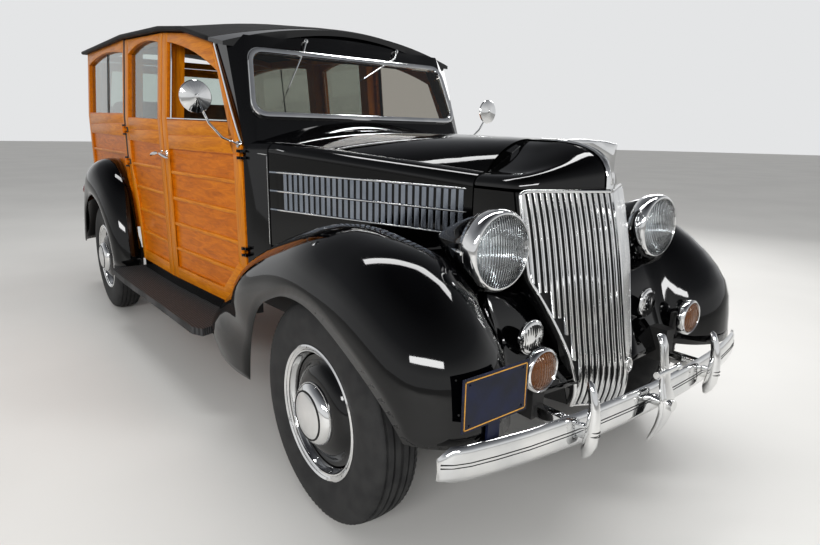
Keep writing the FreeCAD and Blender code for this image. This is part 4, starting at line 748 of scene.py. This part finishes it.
# a dark sheet behind the bars: painted shade of the grille's opening
mesh = sheetOf([[grilleFace(x, z, -13) for x in (-half, 0, half)] for z, half in grille["outline"]])
finishPiece("grille_shade_sheet", mesh, shadeAndBlackCoat, 20)
angles = [2 * pi * n / 24 for n in range(25)]
ring = [at(13 * sin(a), -578 + 1.5 * cos(a), 524 + 20 * cos(a)) for a in angles]
finishPiece("crank_ring", tube(ring, 4, 10, False), bright, 60)

# Front bumper: convex bar with two grooves drawn as dark lines of painted shade, tapered guards and a cast centre
# guard. A guard's rows are station, height and radius; the centre's are station, height, width and depth, the last two
# as shares.
bumper = {
    "rows": ((0, -668), (130, -666), (260, -660), (390, -649), (520, -634), (620, -616), (690, -600), (730, -584),
             (757, -566)),
    "section": ((14, 0.0), (6, 0.02), (1, 0.18), (-1, 0.5), (1, 0.82), (6, 0.98), (14, 1.0), (11, 0.5)),
    "low": 398, "high": 490, "endLow": 402, "endHigh": 458, "grooves": (440, 449), "guardsAt": (-336, 336),
    "guard": ((-664, 588, 5), (-670, 580, 10), (-678, 558, 12), (-686, 530, 14.5), (-689, 495, 17), (-688, 462, 19),
              (-688, 452, 18), (-684, 420, 20), (-676, 392, 16), (-670, 372, 6)),
    "centre": ((-672, 646, 0.4, 0.5), (-680, 640, 0.52, 0.7), (-690, 615, 0.55, 0.8), (-694, 580, 0.5, 0.8),
               (-700, 545, 0.62, 1), (-704, 505, 0.8, 1), (-716, 470, 1.1, 1), (-718, 445, 1.25, 1),
               (-716, 415, 1.15, 1), (-708, 380, 1.05, 0.9), (-694, 345, 0.75, 0.8), (-680, 318, 0.35, 0.6),
               (-676, 310, 0.15, 0.4)),
}
halves = []
for side in (1, -1):
    rings = []
    for x, s in bumper["rows"]:
        atEnd = x == bumper["rows"][-1][0]
        low, high = (bumper["endLow"], bumper["endHigh"]) if atEnd else (bumper["low"], bumper["high"])
        rings.append(path(side, [(x, s + deep, low + share * (high - low)) for deep, share in bumper["section"]]))
    halves.append(outward(loft(rings, ends=(-1,))))
finishPiece("bumper_bar", outward(merged(joined(halves), 0.4)), bright, 60, nodes=("front_bumper",))
# dark lines along the bar's grooves: painted shade
grooves = []
for z in bumper["grooves"]:
    line = [(x, s - 0.9, z) for x, s in bumper["rows"]]
    grooves.append(tube(path(-1, line[:0:-1]) + path(1, line), 1.3, 6))
finishPiece("bumper_shade_lines", joined(grooves), shadeAndBlackCoat)
guards = []
for x in bumper["guardsAt"]:
    guards.append(tube([at(x, s, z) for s, z, r in bumper["guard"]], [r for s, z, r in bumper["guard"]], 24))
    guards.append(boxAt(at(x - 9, -690, 425), at(x + 9, -640, 465), 3))
guards.append(bentBar([(at(0, s + 12, z), acrossCar * wide, alongCar * -deep)
                       for s, z, wide, deep in bumper["centre"]], 24, 18))
for x in (-24, 24):
    guards.append(tube([at(x * wide, s + 8, z) for s, z, wide, deep in bumper["centre"]],
                       [7 * row[3] for row in bumper["centre"]]))
for first, last, radius in ((-58, 58, 7.5), (-62, -50, 11), (50, 62, 11)):
    guards.append(tube([at(first, -702, 545), at(last, -702, 545)], radius, 16))
guards.append(tube([at(0, -640, 445), at(0, -732, 445)], 17, 20))
for x in (-355, 355):
    guards.append(boxAt(at(x - 16, -646, 436), at(x + 16, -520.4, 472), 3))
finishPiece("bumper_guards", joined(guards), bright, 40)
# dark rings round the guards' grooves: painted shade
bands = [tube([at(x + 16 * sin(a), -692 - 16 * cos(a), z) for a in angles], 1.2, 6, False)
         for x in bumper["guardsAt"] for z in (446, 458)]
finishPiece("guard_shade_lines", joined(bands), shadeAndBlackCoat)
print("front dressed")

# Wheels and tyres
wheel = {
    "half": ((56, 202), (62, 206), (66, 214), (76, 240), (80, 268), (79, 296), (74, 322), (66, 340), (60, 346),
             (54, 349.5), (50, 350.5), (49, 345), (44, 345), (43, 352), (28, 353.6), (27, 347), (22, 347),
             (21, 354.2), (6, 355), (5, 348.4)),
    "disc": ((-60, 214), (-62, 208), (-58, 203), (-40, 196), (-30, 186), (30, 186), (36, 178), (33, 166), (36, 157),
             (46, 150), (58, 138), (67, 122), (72, 106), (72, 60), (60, 60), (60, 100), (30, 150), (-30, 176),
             (-58, 199), (-66, 206)),
    "trim": ((58, 213), (64, 217), (70, 216), (73, 211), (69, 205), (65, 206), (62, 202), (66, 198), (64, 194),
             (58, 193), (50, 188), (38, 184), (36, 187), (48, 192), (56, 200), (60, 206)),
    "cap": ((70, 100), (76, 101), (82, 99), (90, 93), (97, 84), (102, 74), (106, 62), (109, 44), (111, 24), (112, 0)),
    "cap_seam": ((99.6, 79.6), (101.4, 79), (103.2, 74.6), (101.4, 75)),
    "lugs": 96, "lugDepth": 4.0, "lugFrom": 0.0495, "lugTo": 0.0715, "lugOver": 0.328,
}


def makeWheel(name, place, axis, rides, tyreNode, wheelNode):
    # every second lug of the tread's shoulders is sunk
    tyre = spun([(-d, r) for d, r in wheel["half"]] + list(wheel["half"][::-1]), place, axis, wheel["lugs"] * 2, True)
    for v in tyre.verts:
        away = v.co - place
        reach = away.dot(axis)
        flat = away - axis * reach
        step = round(atan2(flat.dot(upright), flat.dot(upright.cross(axis))) / pi * wheel["lugs"])
        if step % 2 and wheel["lugFrom"] < abs(reach) < wheel["lugTo"] and flat.length > wheel["lugOver"]:
            v.co -= flat.normalized() * wheel["lugDepth"] / 1000
    finishPiece(name + "_tyre", tyre, ("tyre_rubber", tyreRubber), 40, rides, (tyreNode,))
    turned(name + "_", wheel, place, "", (("disc", 72, False, enamel, 40, wheelNode), ("trim", 72, True, bright, 40),
                                          ("cap", 64, False, bright, 40), ("cap_seam", 64, True, shadeAndBlackCoat, 40)),
           axis, rides)


for label, side in sides:
    for end, x, s in (("front_", 705, 0), ("rear_", 740, 2845)):
        makeWheel(end + label, at(side * x, s, 355), acrossCar * side, "wheel_" + end + label, "tyre_" + end + label,
                  "wheel_" + end + label)
makeWheel("spare", at(0, 3820, 930), alongCar, "tailgate", "spare_tyre", "spare_wheel")
print("wheels made")

# Headlamps: deep bullet shells, wide bright rims, fluted glass over a silvered bowl
headlamp = {
    "place": (408, -404, 894),
    "shell": ((16, 112), (44, 108), (60, 104), (90, 94.5), (120, 83.5), (160, 67), (200, 48.7), (235, 29), (255, 16),
              (262, 6), (263, 0)),
    "rim": ((-1, 101), (-5, 103), (-5, 107), (0, 112), (7, 115.5), (18, 116.5), (36, 115), (58, 111), (60, 107),
            (18, 110), (6, 106), (4, 101)),
    "spear": ((44, 7.5), (60, 9), (80, 6.5), (112, 1.0)),
    "bowl": ((12, 104), (30, 92), (60, 74), (84, 48), (94, 22), (96, 0)),
    "lens": ((4, 104), (-3, 102), (-11, 80), (-17, 50), (-20, 24), (-21, 0), (-17, 0), (-13, 50), (-1, 98), (4, 100)),
    "bulb": ((90, 9), (70, 10), (58, 15), (48, 12), (44, 0)),
}
# Fog lamps, horn covers and tail lamps
fogLamp = {
    "place": (398, -560, 597),
    "shell": ((-2, 60), (10, 60), (24, 50), (31, 30), (33, 0)),
    "rim": ((-4, 51), (-8, 55), (-5, 61), (4, 62.5), (12, 62), (12, 59), (0, 51)),
    "bowl": ((2, 54), (12, 46), (20, 28), (23, 0)),
    "lens": ((0, 54), (-8, 48), (-15, 32), (-18, 16), (-19, 0), (-15, 0), (-12, 30), (-4, 49)),
}
horn = {
    "place": (309, -446, 638), "slots": 4, "pitch": 9,
    "cover": ((8, 51), (2, 52), (-3, 49), (-5, 45), (-8, 38), (-11, 24), (-13, 11), (-13.5, 0)),
}
tailLamp = {"place": (772, 3463, 760), "rim": ((-2, 34), (2, 38), (0, 45), (-8, 46), (-12, 42), (-8, 38))}
lampParts = (
    ("headlamp_", headlamp, (("rim", 72, True, bright, 60), ("bowl", 64, False, bright, 60),
                             ("lens", 72, True, lampGlass, 60, "headlamp_lenses"),
                             ("bulb", 24, False, lampGlass, 60))),
    ("fog_", fogLamp, (("shell", 48, False, bright, 40), ("bowl", 48, False, bright, 40),
                       ("rim", 56, True, bright, 60), ("lens", 56, True, ("amber_glass", amberGlass), 60))),
    ("horn_", horn, (("cover", 56, False, bright, 50),)), ("tail_", tailLamp, (("rim", 40, True, bright, 60),)),
)
for label, side in sides:
    for prefix, lamp, parts in lampParts:
        turned(prefix, lamp, path(side, [lamp["place"]])[0], "_" + label, parts)
    x, s, z = headlamp["place"]
    post = tube(path(side, ((x, s + 90, 770), (x, s + 90, 805))), (36, 22), 24)
    finishPiece("headlamp_shell_" + label, joined([spun(headlamp["shell"], at(side * x, s, z), steps=72), post]),
                enamel, 40, nodes=("headlamps",))
    spears = []
    for way in (1, -1):
        points = [at(side * x + way * (along(headlamp["shell"], d) + 1), s + d, z) for d, r in headlamp["spear"]]
        spears.append(tube(points, [r for d, r in headlamp["spear"]], 16))
    finishPiece("headlamp_spears_" + label, joined(spears), bright, 50)
    # dark boxes in the horn covers' slots: painted shade inside them
    slots = []
    for n in range(-horn["slots"], horn["slots"] + 1):
        x, high = n * horn["pitch"], (44 ** 2 - (n * horn["pitch"]) ** 2) ** 0.5 - 4
        slots.append(boxAt(Vector((x - 1.5, -13.9 + abs(n) * 1.3, -high)) / 1000, Vector((x + 1.5, -4, high)) / 1000,
                           1))
    slots = joined(slots)
    bmesh.ops.translate(slots, verts=slots.verts, vec=path(side, [horn["place"]])[0])
    finishPiece("horn_slots_" + label, slots, shadeAndBlackCoat)
print("lamps made")

# Door furniture: curved levers on round bases, and strips in the windows. A lever's rows are its run, its distance
# from the skin and its height; a strip's are its station, where the skin is read, its depth and its heights.
furniture = {
    "handlesAt": (("front", 1716, -1), ("rear", 1784, 1)), "high": 1084,
    "lever": ((-12, 26, 2), (0, 34, 0), (30, 38, -3), (66, 37, -9), (100, 33, -15), (124, 29, -17)),
    "strips": (("window_channel_", 1672, 1668, 16, (1256, 1400, 1520, 1622), 11, rubberAndGapShade),
               ("window_edge_", 1659, 1660, 13, (1256, 1400, 1520, 1620), 3, bright),
               ("quarter_divider_", 3060, 3060, 18, (beltAt(3060) + 22, 1400, 1550, 1690), 9, rubberAndGapShade)),
}
for label, side in sides:
    z = furniture["high"]
    for door, s, way in furniture["handlesAt"]:
        skin = skinAt(s, z) + 1
        lever = joined([
            tube(path(side, ((skin, s, z), (skin + 5, s, z))), (17, 15), 24),
            tube(path(side, ((skin + 2, s, z), (skin + 34, s, z))), (8, 6.5), 16),
            tube(path(side, [(skin + out, s + way * run, z + up) for run, out, up in furniture["lever"]]),
                 (6, 10, 9, 8.5, 7.5, 3.5), 16)])
        finishPiece("handle_%s_%s" % (door, label), lever, bright, 50, "door_%s_%s" % (door, label))
    rail = [(at(side * (skinAt(s, 1250) - 4), s, beltAt(s) + 4), acrossCar, upright)
            for s in (1006, 1200, 1400, 1600, 1680)]
    finishPiece("window_rail_" + label, bentBar(rail, 6, 5), bright, 50, "door_front_" + label)
    for name, s, read, deep, heights, half, coat in furniture["strips"]:
        rows = [(at(side * (skinAt(read, z) - deep), s, z), alongCar, acrossCar * side) for z in heights]
        finishPiece(name + label, bentBar(rows, half, 5), coat, 50, "root" if s > 2000 else "door_front_" + label)

# Seats: piped bench cushions and backs with sewn channels, on low plinths. Rows are station, floor and seat height.
seating = {
    "half": 548, "pitch": 91.4, "puff": 5, "crown": 10, "steps": 96, "around": 22,
    "rows": ((1330, 534.3, 780), (2090, 534.3, 780), (2900, 752.3, 970)),
}


def cushion(middle, deep, tall, lean):
    # crowned pad lying across the car; deep and tall are its half sizes, lean turns it about its length
    rings = []
    for n in range(seating["steps"] + 1):
        share = sin((n / seating["steps"] - 0.5) * pi)
        x = share * seating["half"]
        shrink = (1 - abs(share) ** 10) ** 0.4
        pleat = abs(sin(pi * x / seating["pitch"])) ** 0.5
        ring = []
        for a in [2 * pi * k / seating["around"] for k in range(seating["around"])]:
            y = deep * abs(cos(a)) ** 0.45 * (1 if cos(a) > 0 else -1) * (0.985 + 0.015 * abs(share))
            z = (tall - seating["puff"]) * abs(sin(a)) ** 0.5 * (1 if sin(a) > 0 else -1)
            if sin(a) > 0:
                z += seating["puff"] * pleat + seating["crown"] * (1 - share * share) * abs(sin(a)) - 6
            y, z = y * (0.8 + 0.2 * shrink), z * (0.55 + 0.45 * shrink)
            ring.append((x / 1000, (y * cos(lean) - z * sin(lean)) / 1000 + middle.y,
                         (y * sin(lean) + z * cos(lean)) / 1000 + middle.z))
        rings.append(ring)
    return outward(loft(rings))


for n, (s, low, high) in enumerate(seating["rows"]):
    plinth = boxAt(at(-540, s + 15, low), at(540, s + 400, high - 140), 6)
    finishPiece("seat_plinth_%d" % n, plinth, ("black_paint", chassisBlack), 40, nodes=() if n else ("seats",))
    for kind, middle, deep, tall, lean in (("cushion", at(0, s + 208, high - 72), 204, 66, 0.0),
                                           ("back", at(0, s + 502, high + 205), 245, 34, 1.37)):
        pad = finishPiece("seat_%s_%d" % (kind, n), cushion(middle, deep, tall, lean),
                          ("seat_leather", seatLeather), 80)
        modify(pad, "SUBSURF", levels=1, render_levels=1)

# Gates: boards framed by rails, strips across, lever handles
gate = {"half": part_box("tailgate")[1].x * 1000, "low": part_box("tailgate")[0].z * 1000 + 62, "high": 1236 - 66,
        "lift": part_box("liftgate")[0].z * 1000}


def gateBar(x0, x1, z0, z1, proud=3):
    return boxAt(at(x0, 3716, z0), at(x1, 3720 + proud, z1), 2)


wide, inner = gate["half"], gate["half"] - 66
finishPiece("tailgate_rails", joined([gateBar(-wide, wide, gate["low"] - 62, gate["low"]),
                                      gateBar(-wide, wide, gate["high"], gate["high"] + 66)]), crossRails,
            rides="tailgate")
finishPiece("tailgate_posts", joined([gateBar(wide - 64, wide, gate["low"], gate["high"], 4),
                                      gateBar(-wide, 64 - wide, gate["low"], gate["high"], 4)]), posts,
            rides="tailgate")
bars = []
for z in [mix(gate["low"], gate["high"], n / 4) for n in (1, 2, 3)]:
    # the middle strips stop short of the spare wheel's clamp
    for first, last in ((-inner, -80), (80, inner)) if 850 < z < 1010 else ((-inner, inner),):
        bars.append(bentBar([(at(mix(first, last, k / 3), 3719, z), upright, alongCar) for k in range(4)], 10, 8))
finishPiece("tailgate_strips", joined(bars), crossRails, rides="tailgate")
for name, z, places in (("tailgate", gate["high"] + 32, (-430, 430)), ("liftgate", gate["lift"] + 36, (0,))):
    for x in places:
        lever = [tube([at(x + run, s, z) for run, s in line], radius, steps) for line, radius, steps in (
            (((0, 3722), (0, 3729)), (16, 14), 24), (((0, 3726), (0, 3752)), (7, 6), 16),
            (((-44, 3750), (-12, 3755), (12, 3755), (44, 3750)), (5, 8, 8, 5), 16))]
        finishPiece("%s_handle_%d" % (name, x + 1000), joined(lever), bright, 50, name)

# Rear door hinges: japanned pins and leaves. A leaf's row is where the skin is read, how proud, and its ends.
hinge = {"heights": (1010, 1200), "pin": (713, 2454), "reach": 31, "round": 7.6, "tall": 15, "half": 1.6,
         "leaves": ((2425, 2.6, 2402, 2451), (2485, 2.8, 2459, 2512))}
for label, side in sides:
    for z in hinge["heights"]:
        ends = [(*hinge["pin"], z - hinge["reach"]), (*hinge["pin"], z + hinge["reach"])]
        leaves = []
        for read, proud, first, last in hinge["leaves"]:
            x = side * (skinAt(read, z) + proud)
            leaves.append(boxAt(at(x - hinge["half"], first, z - hinge["tall"]),
                                at(x + hinge["half"], last, z + hinge["tall"]), 1))
        pin = joined([tube(path(side, ends), hinge["round"], 16), leaves[0]])
        finishPiece("rear_hinge_%s_%d" % (label, z), pin, chassis, 40, "door_rear_" + label)
        finishPiece("rear_hinge_leaf_%s_%d" % (label, z), leaves[1], chassis, 40)

# Mirrors: fluted bright backs facing forward, glass behind
mirror = {
    "place": (794, 866, 1330),
    "back": ((0, 62), (-3, 62), (-6, 59), (-11, 46), (-15, 30), (-17, 14), (-18, 9), (-22, 7), (-23, 0)),
    "glass": ((0.4, 59), (0.4, 0)),
    "arm": ((690, 890, 1178), (745, 874, 1232), (776, 862, 1290), (790, 861, 1320)),
}
for label, side in sides:
    place, foot = path(side, [mirror["place"]])[0], skinAt(905, 1150)
    back = spun(mirror["back"], place, steps=48)
    for v in back.verts:
        away = v.co - place
        if 0.02 < hypot(away.x, away.z) < 0.055 and round(atan2(away.z, away.x) / (2 * pi) * 48) % 2:
            v.co.y += 0.0016
    # joined into the bowl itself, whose faces keep their plain directions, so that its flutes stay soft
    joined([tube(path(side, ((foot + 2.5, 905, 1150), *mirror["arm"])), 5),
            tube(path(side, ((foot + 1.5, 905, 1150), (foot + 8, 905, 1150))), 14, 20)], back)
    finishPiece("mirror_back_" + label, back, bright, 22, "door_front_" + label, ("mirror_" + label,))
    turned("mirror_", mirror, place, "_" + label, (("glass", 48, False, bright, 60),), rides="door_front_" + label)

# Wipers hang from the header
for name, foot, knee, tip in (("right", (-243, 1006, 1600), (-262, 978, 1560), (-412, 905, 1324)),
                              ("left", (262, 1006, 1604), (240, 978, 1566), (4, 945, 1439))):
    x, s, z = foot
    wiper = joined([tube([at(x, s + 12, z), at(x, s - 14, z)], (10, 9), 16),
                    tube([at(x, s - 16, z + 6), at(*knee), at(*tip)], (4.5, 4, 1.8), 10)])
    finishPiece("wiper_" + name, wiper, bright, 50)

# Number plate: ochre line round a bare navy field
plate = {"x": -614, "z": 600, "half": (104, 60), "line": 1.5, "front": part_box("number_plate")[0].y}
w, h = plate["half"]
line = []
for (a, b), (c, d) in (((-w, -h), (w, -h)), ((w, -h), (w, h)), ((-w, h), (w, h)), ((-w, -h), (-w, h))):
    low = Vector((plate["x"] + a - plate["line"], 0, plate["z"] + b - plate["line"])) / 1000
    high = Vector((plate["x"] + c + plate["line"], 0, plate["z"] + d + plate["line"])) / 1000
    low.y, high.y = plate["front"] - 0.0004, plate["front"] + 0.001
    line.append(boxAt(low, high))
finishPiece("plate_line", joined(line), ("plate_paint", ochreEnamel))

# Dials on the dash face the cabin: x and radius
for n, (x, r) in enumerate(((330, 52), (215, 30), (445, 30), (-260, 44))):
    place = at(x, 881, 1100)
    turned("dial_", {"rim": ((0, r), (3, r + 5), (7, r + 3), (5, r - 1)), "face": ((0, r), (2, r - 1), (2, 0))},
           place, "_%d" % n, (("rim", 40, True, bright, 60), ("face", 40, False, ("plate_paint", dialEnamel), 60)))
    needle = boxAt(place + Vector((-0.001, 0.0022, -0.002)), place + Vector((0.001, 0.0034, (r - 10) / 1000)))
    finishPiece("dial_needle_%d" % n, needle, shadeAndBlackCoat)
print("small trim made")

# Plain nodes keep their shape and get their finish
finishes = (
    (boardWood, ("door_front_left", "door_front_right", "door_rear_left", "door_rear_right", "quarter_panels",
                 "floor")),
    (postWood, ("body_frame",)), (crossWood, ("tailgate",)), (crossRailWood, ("liftgate",)),
    (screenGlass, ("windscreen_glass",)),
    (windowGlass, ("rear_door_glass_left", "rear_door_glass_right", "quarter_glass", "liftgate_glass")),
    (blackEnamel, ("fog_lamps",)), (rubyGlass, ("tail_lamps",)), (matRubber, ("running_boards",)),
    (chassisBlack, ("chassis_frame", "radiator")), (engineIron, ("engine",)), (plateEnamel, ("number_plate",)),
    (chromePlate, ("horn_grilles",)),
)
for material, nodes in finishes:
    for node in nodes:
        thing = frame["nodes"][node]
        if not thing.material_slots:
            thing.data.materials.append(material)
        for slot in thing.material_slots:
            slot.material = material

# Floor, light and camera
studio = {"radius": 60, "sky": ((0.2, "E4E5E6"), (0.95, "333438"), (0.5, "8C8E92")), "skyLevel": 1.0, "fill": 0.55}
ground = bmesh.new()
bmesh.ops.create_circle(ground, cap_ends=True, segments=96, radius=studio["radius"])
mesh = bpy.data.meshes.new("studioFloor")
ground.to_mesh(mesh)
ground.free()
floor = bpy.data.objects.new("studioFloor", mesh)
scene.collection.objects.link(floor)
# painted studio floor: pale, very slightly uneven
mesh.materials.append(speckled("paintedFloor", {"Specular IOR Level": 0.3}, ("CFCECB", "D6D5D2"), 1.5,
                               (0.5, 0.6), 0.01, 0.0001))

world = bpy.data.worlds.new("studio")
scene.world = world
world.use_nodes = True
sky = world.node_tree
sky.nodes.clear()
# the sky that is seen or reflected grows darker upwards; what lights the car is even
ray = addNode(sky, "ShaderNodeLightPath").outputs
seen = addNode(sky, "ShaderNodeMath", {"operation": "MAXIMUM"},
               {0: ray["Is Camera Ray"], 1: ray["Is Transmission Ray"]}).outputs[0]
seen = addNode(sky, "ShaderNodeMath", {"operation": "MAXIMUM"}, {0: seen, 1: ray["Is Glossy Ray"]}).outputs[0]
plain = addNode(sky, "ShaderNodeBackground", {"Color": linear("FFFFFF"), "Strength": studio["fill"]})
upward = addNode(sky, "ShaderNodeSeparateXYZ", {}, {0: addNode(sky, "ShaderNodeTexCoord").outputs["Generated"]})
tone = addNode(sky, "ShaderNodeValToRGB", {"stops": studio["sky"]}, {"Fac": upward.outputs["Z"]})
shown = addNode(sky, "ShaderNodeBackground", {"Strength": studio["skyLevel"]}, {"Color": tone.outputs["Color"]})
blend = addNode(sky, "ShaderNodeMixShader", {}, {0: seen, 1: plain.outputs[0], 2: shown.outputs[0]})
addNode(sky, "ShaderNodeOutputWorld", {}, {"Surface": blend.outputs[0]})

lamps = {
    "key": {"place": (-4.6, -5.8, 3.4), "aim": (0, -0.4, 0.8), "size": (5.2, 0.8), "power": 300},
    "top": {"place": (0.5, -0.5, 5.2), "aim": (0, 0, 1.0), "size": (0.7, 6.5), "power": 190},
    "rim": {"place": (5.0, 1.0, 3.4), "aim": (0, 0, 0.9), "size": (3.0, 1.6), "power": 120},
}
for name, facts in lamps.items():
    light = bpy.data.lights.new(name, "AREA")
    light.shape = "RECTANGLE"
    light.size, light.size_y = facts["size"]
    light.energy = facts["power"]
    lamp = bpy.data.objects.new(name, light)
    lamp.location = facts["place"]
    lamp.rotation_mode = "QUATERNION"
    lamp.rotation_quaternion = (Vector(facts["aim"]) - Vector(facts["place"])).to_track_quat("-Z", "Y")
    scene.collection.objects.link(lamp)

view = {"place": (-1.5673, -3.0621, 1.2040), "yaw": 38.27, "pitch": -13.51, "roll": 1.01, "lens": 25.31}
yaw, pitch, roll = [radians(view[name]) for name in ("yaw", "pitch", "roll")]
forward = Vector((sin(yaw) * cos(pitch), cos(yaw) * cos(pitch), sin(pitch)))
right = Vector((cos(yaw), -sin(yaw), 0))
up = right.cross(forward)
lens = bpy.data.cameras.new("camera")
lens.lens = view["lens"]
lens.sensor_width = 36
lens.clip_start = 0.05
lens.clip_end = 300
camera = bpy.data.objects.new("camera", lens)
camera.matrix_world = Matrix((right * cos(roll) + up * sin(roll), up * cos(roll) - right * sin(roll),
                              -forward)).transposed().to_4x4()
camera.location = view["place"]
scene.collection.objects.link(camera)
scene.camera = camera
scene.view_settings.view_transform = "Standard"
print("studio lit, camera placed")
